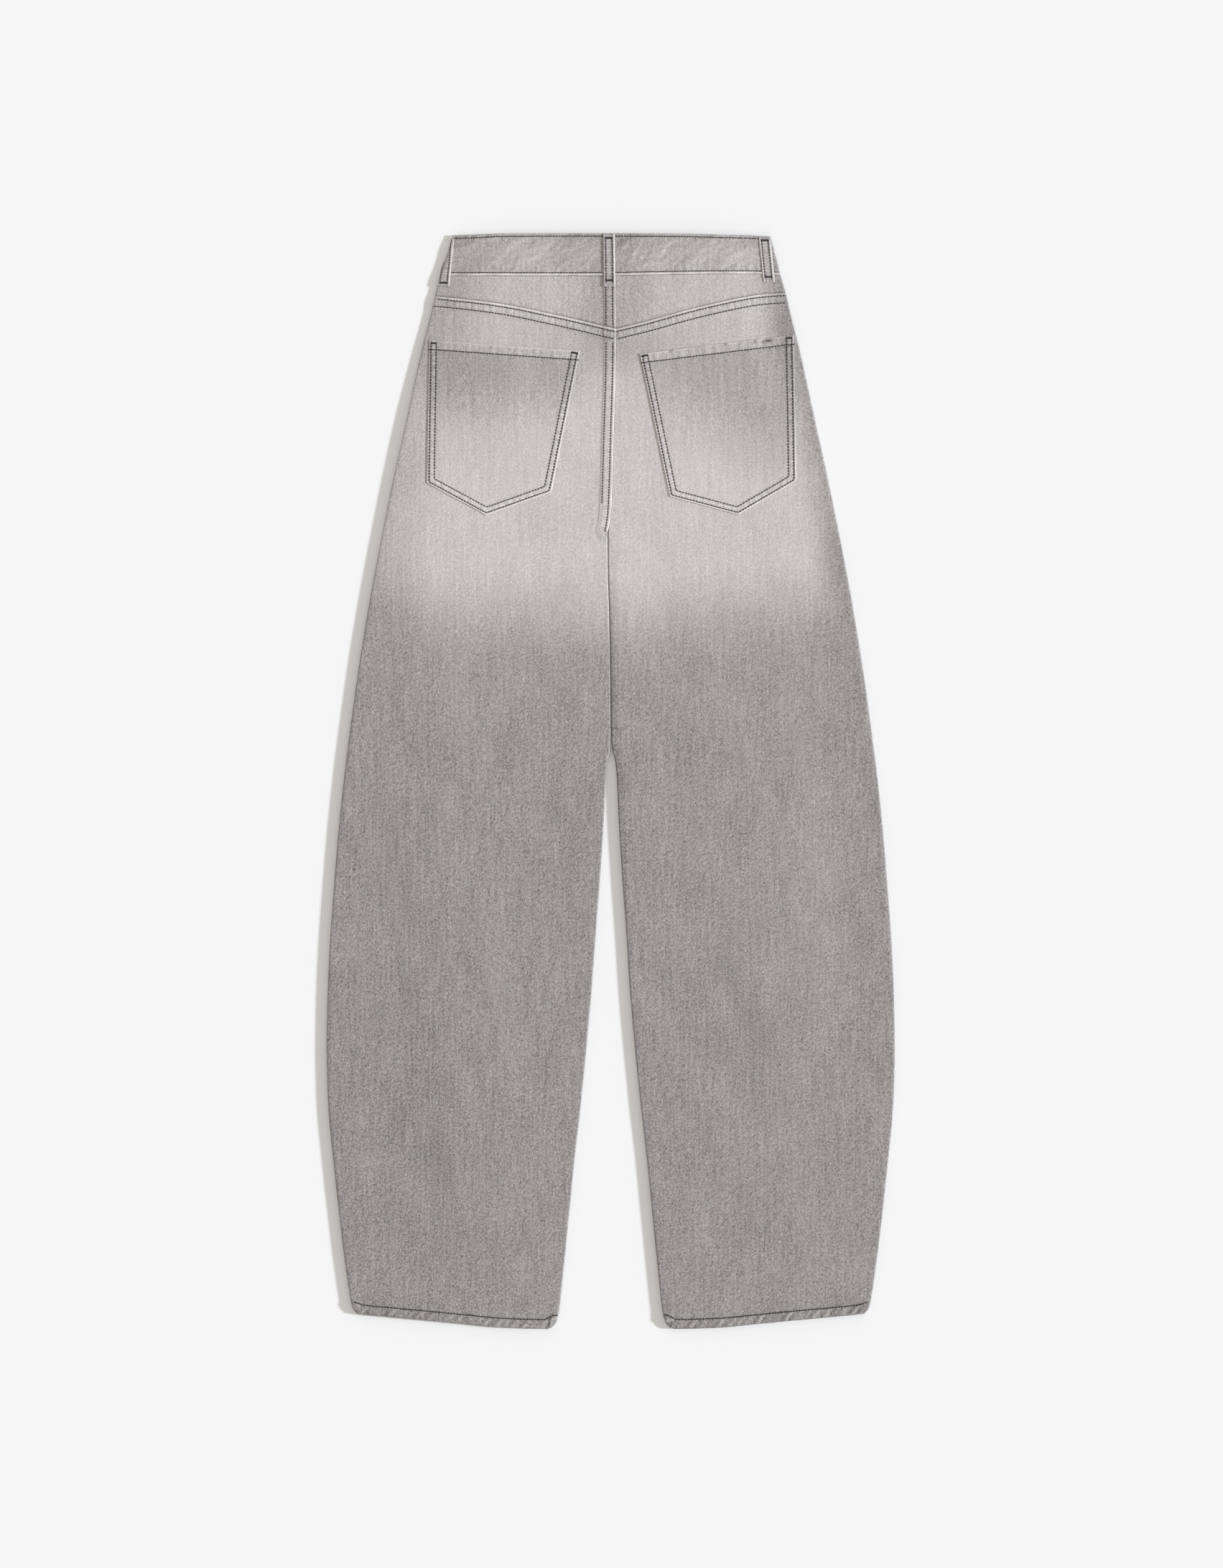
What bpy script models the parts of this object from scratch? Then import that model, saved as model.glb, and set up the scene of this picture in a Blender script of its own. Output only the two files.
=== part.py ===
"""Barrel leg trousers in washed denim, laid flat with the back side up.

Sizes are millimetres until a mesh is made. "down" runs from the top of the waistband to the hems, x runs
to the wearer's right, and z is the height above the surface that the trousers lie on. Each cut piece is a
wall of cloth between an outer skin and an inner skin, and both skins are grids of the same size.
"""

from collections import namedtuple

import bmesh
import bpy
import numpy as np

# Driving dimensions
LENGTH = 1084.0
SEAM = 0.3
LEG_WALL = 1.6
LEG_HEIGHT = 5.6
WAIST_LIFT = 1.8
LIFT_END = 80.0
LIFT_FADE = 100.0
WAIST_HEIGHT = 7.0
WAIST_END = 60.0
WAIST_FADE = 200.0
ROLL = 2.7
CROTCH = 298.0
FELL_WIDTH = 12.0
FELL_RAISE = 0.7
YOKE_FELL_WIDTH = 14.5
HEM_WIDTH = 10.0
HEM_RAISE = 0.6
STITCHED_RAMP = 2.0

# Waistband
BAND_WALL = 1.5
BAND_HEIGHT = 7.6
BAND_LEFT_TOP = -154.6
BAND_RIGHT_TOP = 158.0
FRONT_DIP = 13.0
LAP = 18.0
LAP_RAMP = 20.0

# Belt loops, pockets and button
LOOP_WIDTH = 11.6
LOOP_WALL = 1.5
LOOP_ARCH = 0.8
LOOP_LENGTH = 52.5
FRONT_LOOP_REACH = 92.0
POCKET_WALL = 1.3
POCKET_HEM = 12.0
POCKET_HEM_RAISE = 0.4
BUTTON_WIDTH = 17.0
BUTTON_HEIGHT = 1.5

# Side seam: half the width of the garment at each distance down from the waist
Side = namedtuple("Side", "down half")
SIDE = [
    Side(42, 168.0), Side(60, 173.3), Side(82, 178.4), Side(110, 185.6), Side(138, 192.0),
    Side(195, 204.5), Side(252, 217.0), Side(309, 228.3), Side(366, 238.9), Side(422, 248.1),
    Side(479, 256.2), Side(536, 263.5), Side(593, 269.4), Side(650, 274.1), Side(706, 278.0),
    Side(763, 280.3), Side(806, 281.0), Side(848, 280.1), Side(877, 278.5), Side(905, 275.7),
    Side(962, 269.6), Side(1019, 262.7), Side(1058, 256.7), Side(1064, 254.9), Side(1068, 251.5),
]

# Inner leg seam: half the gap between the legs
Gap = namedtuple("Gap", "down half")
GAP = [
    Gap(42, 0), Gap(500, 0), Gap(512, 1.2), Gap(520, 3.2), Gap(530, 4.7), Gap(579, 7.1),
    Gap(635, 10.6), Gap(692, 14.9), Gap(749, 18.8), Gap(806, 23.8), Gap(863, 29.5), Gap(919, 35.9),
    Gap(976, 41.5), Gap(1033, 47.2), Gap(1061, 50.2), Gap(1074, 52.6), Gap(1079, 55.0),
    Gap(1081.5, 57.5),
]

# Seam at the centre back, and below the crotch the line where the two legs touch
Middle = namedtuple("Middle", "down x")
BACK_SEAM = [
    Middle(42, 5.0), Middle(110, 5.3), Middle(138, 5.0), Middle(195, 3.3), Middle(238, 2.1),
    Middle(270, 0.9), Middle(285, -0.6), Middle(300, -2.8), Middle(334, -2.5), Middle(380, -1.1),
    Middle(425, -0.4), Middle(485, 0.2), Middle(530, 0.5), Middle(692, 0.3), Middle(749, 0.0),
    Middle(1082, 0.0),
]
FRONT_SEAM = [Middle(42, 0.0), Middle(150, -0.6), Middle(300, -2.8)]

# Yoke seam: distance down at each reach from the centre seam, on either side
Yoke = namedtuple("Yoke", "reach left right")
YOKE = [
    Yoke(0, 94.4, 94.4), Yoke(15, 90.9, 90.7), Yoke(30, 87.3, 87.0), Yoke(50, 82.6, 81.4),
    Yoke(70, 78.3, 75.8), Yoke(92, 73.5, 70.4), Yoke(114, 69.6, 65.5), Yoke(136, 66.5, 61.3),
    Yoke(156, 64.2, 59.2), Yoke(179, 61.8, 58.0),
]

# Waistband edges along x
Band = namedtuple("Band", "x top bottom")
BAND = [
    Band(-170, 2.0, 41.9), Band(-156, 2.0, 41.9), Band(-107, 0.3, 42.0), Band(-71, 0.0, 42.1),
    Band(0, 0.0, 41.9), Band(35, 0.1, 41.3), Band(70, 0.4, 40.7), Band(106, 1.2, 40.2),
    Band(138, 2.0, 40.1), Band(158, 3.0, 41.0), Band(170, 3.0, 41.7),
]

# Hem edge at each distance from the centre
Hem = namedtuple("Hem", "x down")
HEM = [
    Hem(55, 1079.5), Hem(57.5, 1081.5), Hem(64, 1083.7), Hem(107, 1082.5), Hem(142, 1079.2),
    Hem(178, 1075.7), Hem(217, 1072.1), Hem(251.5, 1068.2), Hem(254, 1066.5),
]

# Back pockets: corners and the sag of the top edge
Corner = namedtuple("Corner", "x down")
POCKET_LEFT = dict(
    outer=Corner(-179.6, 105.6), inner=Corner(-31.0, 116.6), inner_foot=Corner(-58.9, 256.3),
    tip=Corner(-123.2, 278.7), outer_foot=Corner(-181.6, 247.1), top_bow=0.8,
)
POCKET_RIGHT = dict(
    outer=Corner(180.2, 101.0), inner=Corner(28.8, 119.3), inner_foot=Corner(58.6, 260.6),
    tip=Corner(126.0, 278.3), outer_foot=Corner(183.2, 244.9), top_bow=0.6,
)

DENIM = (0.27, 0.26, 0.265, 1.0)
DENIM_PALE = (0.45, 0.445, 0.45, 1.0)
METAL = (0.16, 0.15, 0.14, 1.0)


def ease(value):
    """Smooth step from 0 to 1, level at both ends."""
    value = np.clip(value, 0.0, 1.0)
    return value * value * (3.0 - 2.0 * value)


def through(table, key, value, at):
    """Height of the smooth line through a table's rows.

    Each stretch is a cubic. Its slope at a row is the harmonic mean of the slopes on either side, and
    level where those differ in sign, so that the line never swings past a row.
    """
    xs = np.array([getattr(row, key) for row in table], float)
    ys = np.array([getattr(row, value) for row in table], float)
    chord = np.diff(ys) / np.diff(xs)
    before, after = chord[:-1], chord[1:]
    same_way = before * after > 0
    mean = 2 * before * after / np.where(same_way, before + after, 1.0)
    slopes = np.concatenate([chord[:1], np.where(same_way, mean, 0.0), chord[-1:]])
    at = np.clip(at, xs[0], xs[-1])
    i = np.clip(np.searchsorted(xs, at) - 1, 0, len(xs) - 2)
    span = xs[i + 1] - xs[i]
    t = (at - xs[i]) / span
    start = (1 + 2 * t) * (1 - t) ** 2 * ys[i] + t * (1 - t) ** 2 * span * slopes[i]
    end = t * t * (3 - 2 * t) * ys[i + 1] + t * t * (t - 1) * span * slopes[i + 1]
    return start + end


def lift(down):
    """Height of the underside: the waist stands on its loops and button, the legs lie on the surface."""
    return WAIST_LIFT * (1.0 - ease((down - LIFT_END) / LIFT_FADE))


def crown(down):
    """Height of the upper side without its seams."""
    return LEG_HEIGHT + (WAIST_HEIGHT - LEG_HEIGHT) * (1.0 - ease((down - WAIST_END) / WAIST_FADE))


def side_seam_height(down):
    """Height of the seam that joins front and back at the edge of the leg."""
    return 0.5 * (lift(down) + crown(down))


def front_dip(x):
    """How far the front waist hangs below the back waist."""
    return FRONT_DIP * np.clip(1.0 - (x / BAND_RIGHT_TOP) ** 2, 0.0, 1.0) ** 2


def along(start, end, share):
    """Straight line between two distances."""
    return start + (end - start) * share


def point(x, down):
    """Pairs of x and down as one array."""
    return np.stack(np.broadcast_arrays(np.asarray(x, float), np.asarray(down, float)), -1)


def stretch(edges, u, v):
    """Panel between its four edges: each edge blended across, less the blend of the corners."""
    outer, inner, top, bottom = edges
    u1, v1 = u[..., None], v[..., None]
    corners = [[outer(0.0), inner(0.0)], [outer(1.0), inner(1.0)]]
    sides = (1 - u1) * outer(v) + u1 * inner(v)
    ends = (1 - v1) * top(u) + v1 * bottom(u)
    twist = (1 - v1) * ((1 - u1) * corners[0][0] + u1 * corners[0][1])
    twist = twist + v1 * ((1 - u1) * corners[1][0] + u1 * corners[1][1])
    return sides + ends - twist


def leg_edges(side, face):
    """Outer, inner, top and bottom edge of a leg panel; side is -1 left or 1 right."""
    seam, start = (BACK_SEAM, YOKE[0].left) if face > 0 else (FRONT_SEAM, SIDE[0].down)
    foot_x, foot_down = HEM[-2].x, HEM[-2].down
    inner_x, inner_down = HEM[1].x, HEM[1].down

    def middle(down):
        below = through(BACK_SEAM, "down", "x", down)
        above = through(seam, "down", "x", down)
        return np.where(down < CROTCH, above, below) + side * SEAM / 2

    def top_down(x):
        if face > 0:
            reach = np.abs(x - BACK_SEAM[0].x)
            return through(YOKE, "reach", "left" if side < 0 else "right", reach) + SEAM / 2
        return through(BAND, "x", "bottom", x) + front_dip(x) + SEAM / 2

    side_start = top_down(side * SIDE[1 if face > 0 else 0].half)
    middle_start = top_down(middle(start))

    def outer(v):
        down = along(side_start, foot_down, v)
        return point(side * through(SIDE, "down", "half", down), down)

    def inner(v):
        down = along(middle_start, inner_down, v)
        return point(middle(down) + side * through(GAP, "down", "half", down), down)

    def top(u):
        x = along(outer(0.0)[0], inner(0.0)[0], u)
        return point(x, top_down(x) + (1 - u) * (outer(0.0)[1] - top_down(outer(0.0)[0])))

    def bottom(u):
        x = along(foot_x, inner_x, u)
        return point(side * x, through(HEM, "x", "down", x))

    return outer, inner, top, bottom


def yoke_edges(side):
    """Edges of a back yoke, from the waistband down to the yoke seam."""
    _, leg_inner, leg_top, _ = leg_edges(side, 1)
    middle_x = leg_inner(0.0)[0]

    def bottom(u):
        return leg_top(u) - point(0.0, SEAM)

    def top(u):
        x = along(side * SIDE[0].half, middle_x, u)
        return point(x, through(BAND, "x", "bottom", x) + SEAM)

    def outer(v):
        down = along(top(0.0)[1], bottom(0.0)[1], v)
        return point(side * through(SIDE, "down", "half", down), down)

    def inner(v):
        return point(middle_x, along(top(1.0)[1], bottom(1.0)[1], v))

    return outer, inner, top, bottom


def cloth_panel(edges, stations, middle_columns, face, felled=False, top_fell=False, hemmed=False):
    """Skins of a cloth wall whose outer edge rolls over to the side seam.

    Below the crotch the inner edge rolls too. A roll is a quarter of an ellipse in the last few
    millimetres before the edge. Felled seams stand proud of the panel and the hem is thicker.
    """
    turn = np.radians([0.0, 30.0, 60.0, 90.0])
    roll_out = ROLL * (1 - np.cos(turn))
    roll_in = LEG_WALL + (ROLL - LEG_WALL) * (1 - np.cos(turn))
    fell = np.array([FELL_WIDTH - STITCHED_RAMP / 2, FELL_WIDTH + STITCHED_RAMP / 2])
    v = np.repeat(stations[:, None], len(turn) * 2 + len(fell) + middle_columns, 1)
    width = np.linalg.norm(edges[0](v) - edges[1](v), axis=-1)[:, :1]
    down_inner = edges[1](v)[:, :1, 1]
    open_edge = ease((down_inner - CROTCH) / 16.0)

    def columns(outer_edge, inner_edge):
        first = np.repeat(outer_edge[None], len(stations), 0) / width
        last = 1 - np.concatenate([inner_edge, np.repeat(fell[None], len(stations), 0)], 1)[:, ::-1] / width
        share = np.linspace(0, 1, middle_columns + 2)[None, 1:-1]
        between = first[:, -1:] + (last[:, :1] - first[:, -1:]) * share
        return np.concatenate([first, between, last], 1)

    inner_roll = roll_out + (roll_in - roll_out) * open_edge
    u_out = columns(roll_out, np.repeat(roll_out[None], len(stations), 0))
    u_in = columns(roll_in, inner_roll)
    level = np.ones(middle_columns + len(fell))
    fall_outer = 1 - np.concatenate([np.sin(turn), level, np.ones(len(turn))])[None]
    fall_inner = 1 - np.concatenate([np.ones(len(turn)), level, np.sin(turn)[::-1]])[None]
    fall = fall_outer + fall_inner * open_edge

    skins = []
    for u, inward in ((u_out, 0.0), (u_in, 1.0)):
        flat = stretch(edges, u, v)
        down = flat[..., 1]
        length = edges[1](1.0)[1] - edges[1](0.0)[1]
        raised = np.zeros_like(down)
        if felled:
            from_seam = (1 - u_out) * width
            strip = 1 - ease((from_seam - FELL_WIDTH) / STITCHED_RAMP + 0.5)
            raised = FELL_RAISE * strip * (1 - ease((down - CROTCH + 14.0) / 12.0))
        if top_fell:
            strip = 1 - ease((v * length - YOKE_FELL_WIDTH) / STITCHED_RAMP + 0.5)
            raised = np.maximum(raised, FELL_RAISE * strip)
        wall = LEG_WALL
        if hemmed:
            hem = ease((v * length - length + HEM_WIDTH) / STITCHED_RAMP + 0.5)
            raised = raised + (HEM_RAISE * hem if face > 0 else 0.0)
            wall = wall + HEM_RAISE * hem
        flat_height = (crown(down) if face > 0 else lift(down)) + face * raised - face * inward * wall
        end_height = side_seam_height(down) + face * SEAM / 2
        height = flat_height - (flat_height - end_height) * fall
        skins.append(np.concatenate([flat, height[..., None]], -1))
    return skins


def leg_stations(edges, bands):
    """Rows of a leg panel: close at its seams and evenly spaced between them."""
    length = edges[1](1.0)[1] - edges[1](0.0)[1]
    head = [0.0, YOKE_FELL_WIDTH - STITCHED_RAMP / 2, YOKE_FELL_WIDTH + STITCHED_RAMP / 2]
    foot = [length - HEM_WIDTH - STITCHED_RAMP / 2, length - HEM_WIDTH + STITCHED_RAMP / 2,
            length - 4.0, length]
    even = np.linspace(head[-1], foot[0], bands + 1)[1:-1]
    return np.concatenate([head, even, foot]) / length


def waistband():
    """Skins of the waistband: a flattened ring whose ends lap at the centre front."""
    radius = 0.5 * (BAND_HEIGHT - WAIST_LIFT)
    centre = 0.5 * (BAND_HEIGHT + WAIST_LIFT)
    across = np.linspace(0.0, 1.0, 6)[:, None]
    turn = np.radians(np.linspace(-90, 90, 7))
    lap = LAP / (BAND_RIGHT_TOP - BAND_LEFT_TOP)
    # Each run: share of the way from the left turn to the right turn, and the way out of the cloth
    runs = [
        (np.linspace(0.5 + lap, 0.0, 12)[:-1], 0.0, -1.0),
        (np.zeros(7), -np.cos(turn), np.sin(turn)),
        (np.linspace(0.0, 1.0, 22)[1:-1], 0.0, 1.0),
        (np.ones(7), np.cos(turn), -np.sin(turn)),
        (np.linspace(1.0, 0.5 - lap, 16)[1:], 0.0, -1.0),
    ]
    share = np.concatenate([run[0] for run in runs])[None]
    out_x = np.concatenate([np.broadcast_to(run[1], run[0].shape) for run in runs])[None]
    out_z = np.concatenate([np.broadcast_to(run[2], run[0].shape) for run in runs])[None]
    is_front = (out_z < 0) * np.clip(-out_z, 0, 1) ** 2
    is_lapped = np.concatenate([np.full(run[0].shape, float(i == 4)) for i, run in enumerate(runs)])[None]
    left = along(BAND_LEFT_TOP, -SIDE[0].half, across)
    right = along(BAND_RIGHT_TOP, SIDE[0].half, across)
    skins = []
    for depth in (0.0, BAND_WALL):
        x = along(left + radius, right - radius, share) + (radius - depth) * out_x
        top = through(BAND, "x", "top", x)
        bottom = through(BAND, "x", "bottom", x)
        down = along(top, bottom, across) + front_dip(x) * is_front
        z = centre + (radius - depth) * out_z + 0.0 * x
        under = 1 - ease((x - LAP - 2.0) / LAP_RAMP)
        z = z + is_lapped * under * (BAND_WALL + SEAM)
        skins.append(np.stack([x, down, z], -1))
    return skins


def flat_loop(head, foot, head_height, foot_height, arch, face):
    """Skins of a belt loop: a strip that stands off the band in the middle and is sewn at its ends."""
    share = np.array([0, 0.05, 0.16, 0.38, 0.6, 0.74, 0.83, 0.9, 1.0])[:, None]
    side = np.array([-0.5, 0.0, 0.5])[None] * LOOP_WIDTH
    flat = point(along(head[0], foot[0], share) + side, along(head[1], foot[1], share))
    height = head_height + (foot_height - head_height) * ease((share - 0.83) / 0.12)
    height = height + arch * ease(share / 0.16) * (1 - ease((share - 0.6) / 0.2)) + 0.0 * side
    lower = np.concatenate([flat, height[..., None]], -1)
    upper = lower + [0.0, 0.0, LOOP_WALL]
    return (upper, lower) if face > 0 else (lower, upper)


def wrapped_loop():
    """Skins of the left loop, which crosses the rolled edge of the band from front to back."""
    radius = 0.5 * (BAND_HEIGHT - WAIST_LIFT)
    centre = 0.5 * (BAND_HEIGHT + WAIST_LIFT)
    quarter = radius * np.pi / 2
    share = np.linspace(0, 1, 8)[:, None]
    down = along(BAND[0].top, LOOP_LENGTH, share)
    slant = (-SIDE[0].half - BAND_LEFT_TOP) / (BAND[0].bottom - BAND[0].top)
    edge = BAND_LEFT_TOP + slant * (down - BAND[0].top)
    arc = along(-9.6, 2.0, share) + np.linspace(0, LOOP_WIDTH, 11)[None]
    angle = np.clip(arc / radius, -np.pi / 2, np.pi / 2)
    beyond = np.clip(np.abs(arc) - quarter, 0, None)
    skins = []
    for offset in (SEAM + LOOP_WALL, SEAM):
        x = edge + radius - (radius + offset) * np.cos(angle) + beyond
        z = centre + (radius + offset) * np.sin(angle)
        skins.append(np.stack([x, down + 0.0 * arc, z], -1))
    return skins


def pocket(shape, columns=9, rows=9):
    """Skins of a patch pocket: the points of the back leg under it, moved out."""
    corner = {name: np.array(value, float) for name, value in shape.items() if name != "top_bow"}

    def outer(v):
        return along(corner["outer"], corner["outer_foot"], np.asarray(v)[..., None])

    def inner(v):
        return along(corner["inner"], corner["inner_foot"], np.asarray(v)[..., None])

    def top(u):
        bow = shape["top_bow"] * np.sin(np.pi * u)
        return along(corner["outer"], corner["inner"], u[..., None]) + point(0.0, -bow)

    def bottom(u):
        first = along(corner["outer_foot"], corner["tip"], np.clip(2 * u, 0, 1)[..., None])
        second = along(corner["tip"], corner["inner_foot"], np.clip(2 * u - 1, 0, 1)[..., None])
        return np.where(u[..., None] < 0.5, first, second)

    height = corner["inner_foot"][1] - corner["inner"][1]
    hem = POCKET_HEM / height
    ramp = STITCHED_RAMP / height
    stations = np.concatenate([[0, hem - ramp / 2, hem + ramp / 2], np.linspace(hem, 1, rows - 2)[1:]])
    u, v = np.meshgrid(np.linspace(0, 1, columns), stations)
    flat = stretch((outer, inner, top, bottom), u, v)
    base = crown(flat[..., 1]) + SEAM
    raised = POCKET_WALL + POCKET_HEM_RAISE * (1 - ease((v - hem) / ramp + 0.5))
    upper = np.concatenate([flat, (base + raised)[..., None]], -1)
    lower = np.concatenate([flat, base[..., None]], -1)
    return upper, lower


def material(name, color, roughness, metallic):
    """Plain finish for one piece."""
    made = bpy.data.materials.new(name)
    made.use_nodes = True
    shader = made.node_tree.nodes["Principled BSDF"]
    shader.inputs["Base Color"].default_value = color
    shader.inputs["Roughness"].default_value = roughness
    shader.inputs["Metallic"].default_value = metallic
    made.diffuse_color = color
    return made


def add_object(name, mesh, collection, color, roughness=0.9, metallic=0.0):
    """Object with its own material, in the garment's collection."""
    made = bpy.data.objects.new(name, mesh)
    mesh.materials.append(material(name + "_finish", color, roughness, metallic))
    collection.objects.link(made)
    return made


def add_wall(name, skins, collection, color):
    """Closed wall of cloth: two like grids and a rim that joins their borders."""
    outer, inner = skins
    rows, columns = outer.shape[:2]
    count = rows * columns
    places = np.concatenate([outer.reshape(-1, 3), inner.reshape(-1, 3)])
    places[:, 1] = LENGTH / 2 - places[:, 1]
    index = np.arange(count).reshape(rows, columns)
    skin = np.stack([index[:-1, :-1], index[1:, :-1], index[1:, 1:], index[:-1, 1:]], -1).reshape(-1, 4)
    ring = np.concatenate([index[0, :-1], index[:-1, -1], index[-1, :0:-1], index[:0:-1, 0]])
    following = np.roll(ring, -1)
    rim = np.stack([ring, following, following + count, ring + count], -1)
    faces = np.concatenate([skin, skin[:, ::-1] + count, rim])
    mesh = bpy.data.meshes.new(name)
    mesh.from_pydata((places / 1000).tolist(), [], faces.tolist())
    shell = bmesh.new()
    shell.from_mesh(mesh)
    bmesh.ops.recalc_face_normals(shell, faces=shell.faces)
    shell.to_mesh(mesh)
    shell.free()
    mesh.shade_smooth()
    mesh.set_sharp_from_angle(angle=np.radians(40))
    return add_object(name, mesh, collection, color)


def add_button(collection):
    """Waist button, face down under the lapped ends of the band."""
    bpy.ops.mesh.primitive_cylinder_add(vertices=32, radius=BUTTON_WIDTH / 2000, depth=BUTTON_HEIGHT / 1000)
    button = bpy.context.object
    button.name = "button"
    button.data.name = "button"
    down = front_dip(0.0) + 0.5 * BAND[4].bottom
    button.location = (0.0, (LENGTH / 2 - down) / 1000, BUTTON_HEIGHT / 2000)
    rounded = button.modifiers.new("Rim", "BEVEL")
    rounded.width = 0.0004
    rounded.segments = 2
    rounded.limit_method = "ANGLE"
    for owner in button.users_collection:
        owner.objects.unlink(button)
    collection.objects.link(button)
    button.data.materials.append(material("button_finish", METAL, 0.35, 1.0))


def add_loops(collection):
    """Three belt loops at the back and two at the front."""
    on_band = BAND_HEIGHT + SEAM
    on_yoke = WAIST_HEIGHT + SEAM
    centre = flat_loop((-2.0, 0.8), (-1.2, 53.0), on_band, on_yoke + FELL_RAISE, LOOP_ARCH, 1)
    add_wall("loop_back_centre", centre, collection, DENIM_PALE)
    right = flat_loop((151.6, 3.6), (156.6, 48.5), on_band, on_yoke, LOOP_ARCH, 1)
    add_wall("loop_back_right", right, collection, DENIM_PALE)
    add_wall("loop_back_left", wrapped_loop(), collection, DENIM_PALE)
    for name, side in (("loop_front_left", -1), ("loop_front_right", 1)):
        x = side * FRONT_LOOP_REACH
        head = float(through(BAND, "x", "top", x) + front_dip(x)) + 1.0
        front = flat_loop((x, head), (x, head + LOOP_LENGTH), 0.0, 0.0, 0.0, -1)
        add_wall(name, front, collection, DENIM_PALE)


def settle(collection):
    """Move the meshes so that the garment's box is centred on the origin."""
    bpy.context.view_layer.update()
    pieces = [piece for piece in collection.objects if piece.type == "MESH"]
    corners = np.array([piece.matrix_world @ vertex.co for piece in pieces for vertex in piece.data.vertices])
    middle = 0.5 * (corners.min(0) + corners.max(0))
    for piece in pieces:
        piece.location.x -= middle[0]
        piece.location.y -= middle[1]


def main():
    """Build every piece of the trousers."""
    for old in list(bpy.data.objects):
        bpy.data.objects.remove(old, do_unlink=True)
    collection = bpy.data.collections.new("barrel_leg_trousers")
    bpy.context.scene.collection.children.link(collection)

    for name, side in (("left", -1), ("right", 1)):
        back = leg_edges(side, 1)
        skins = cloth_panel(back, leg_stations(back, 22), 8, 1, felled=side < 0, top_fell=True, hemmed=True)
        add_wall("back_leg_" + name, skins, collection, DENIM)
        front = leg_edges(side, -1)
        skins = cloth_panel(front, leg_stations(front, 22), 5, -1, hemmed=True)
        add_wall("front_leg_" + name, skins, collection, DENIM)
        yoke = yoke_edges(side)
        skins = cloth_panel(yoke, np.linspace(0, 1, 4), 8, 1, felled=side < 0)
        add_wall("yoke_" + name, skins, collection, DENIM_PALE)
    add_wall("pocket_left", pocket(POCKET_LEFT), collection, DENIM_PALE)
    add_wall("pocket_right", pocket(POCKET_RIGHT), collection, DENIM_PALE)
    add_wall("waistband", waistband(), collection, DENIM_PALE)
    add_loops(collection)
    add_button(collection)
    settle(collection)


main()
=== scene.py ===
"""Washed denim barrel leg trousers, laid flat with the back side up.

Places on the garment are given in millimetres as (x, down): x runs to the right of the picture from the
line under the waist button, and down runs from the top of the waistband to the hems. Heights are
millimetres over the floor. Every piece of cloth is a wall between an outer and an inner grid of points.
"""

import logging
from dataclasses import dataclass, field
from enum import Enum
from typing import Any, Callable

import bmesh
import bpy
import numpy as np
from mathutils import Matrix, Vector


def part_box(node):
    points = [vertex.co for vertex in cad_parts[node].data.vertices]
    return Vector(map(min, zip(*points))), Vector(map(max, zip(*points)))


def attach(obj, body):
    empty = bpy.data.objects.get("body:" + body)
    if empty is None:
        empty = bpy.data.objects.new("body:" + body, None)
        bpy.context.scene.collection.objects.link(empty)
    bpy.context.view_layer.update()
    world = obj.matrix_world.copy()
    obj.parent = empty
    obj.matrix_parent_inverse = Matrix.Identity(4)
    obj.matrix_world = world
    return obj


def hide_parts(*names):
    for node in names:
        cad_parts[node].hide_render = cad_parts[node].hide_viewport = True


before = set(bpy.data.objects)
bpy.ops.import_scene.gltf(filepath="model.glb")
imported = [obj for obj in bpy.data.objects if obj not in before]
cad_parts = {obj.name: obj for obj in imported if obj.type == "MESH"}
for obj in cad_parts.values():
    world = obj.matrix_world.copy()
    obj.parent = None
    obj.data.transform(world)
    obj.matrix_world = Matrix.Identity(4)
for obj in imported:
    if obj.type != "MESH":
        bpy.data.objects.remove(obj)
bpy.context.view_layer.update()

LOG = logging.getLogger("trousers")
Array = np.ndarray
Height = Callable[[Array], Array]

# Sizes that the whole garment shares, in millimetres
SEAM = 0.3
CLOTH = 1.2
CROTCH = 298.0
BUTTON_DOWN = 33.95
PICTURE_LONG_SIDE = 1550.6

# Distances of the stitched rows from their seam, fold or middle line, in millimetres
YOKE_ROWS = (3.1, 10.3)
SEAT_ROWS = (3.3, 9.9)
HEM_ROW = 9.4
POCKET_ROWS = (2.2, 7.4)
POCKET_HEM_ROW = 9.2
BAND_TOP_ROW = 3.1
BAND_BOTTOM_ROW = 2.9
LOOP_ROWS = (-3.3, 3.3)
LOOP_TACK = 3.6


class Side(Enum):
    """Left or right leg, as the picture shows them."""

    LEFT = -1
    RIGHT = 1


class Face(Enum):
    """Which way a cloth's outer skin looks."""

    UP = 1
    DOWN = -1


def ease(value: Array) -> Array:
    """Smooth step: 0 below 0, 1 above 1, level at both ends."""
    value = np.clip(value, 0.0, 1.0)
    return value * value * (3.0 - 2.0 * value)


def fade(at: Array, start: Any, reach: float) -> Array:
    """Smooth step down: 1 up to the start, 0 from the reach past it."""
    return 1.0 - ease((at - start) / reach)


def along(start: Any, end: Any, share: Any) -> Any:
    """Straight line from start to end at a share of the way."""
    return start + (end - start) * share


def hump(distance: Array, width: float) -> Array:
    """Bell curve, 1 in the middle and e to the power of -1 at the width."""
    return np.exp(-((distance / width) ** 2))


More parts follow.
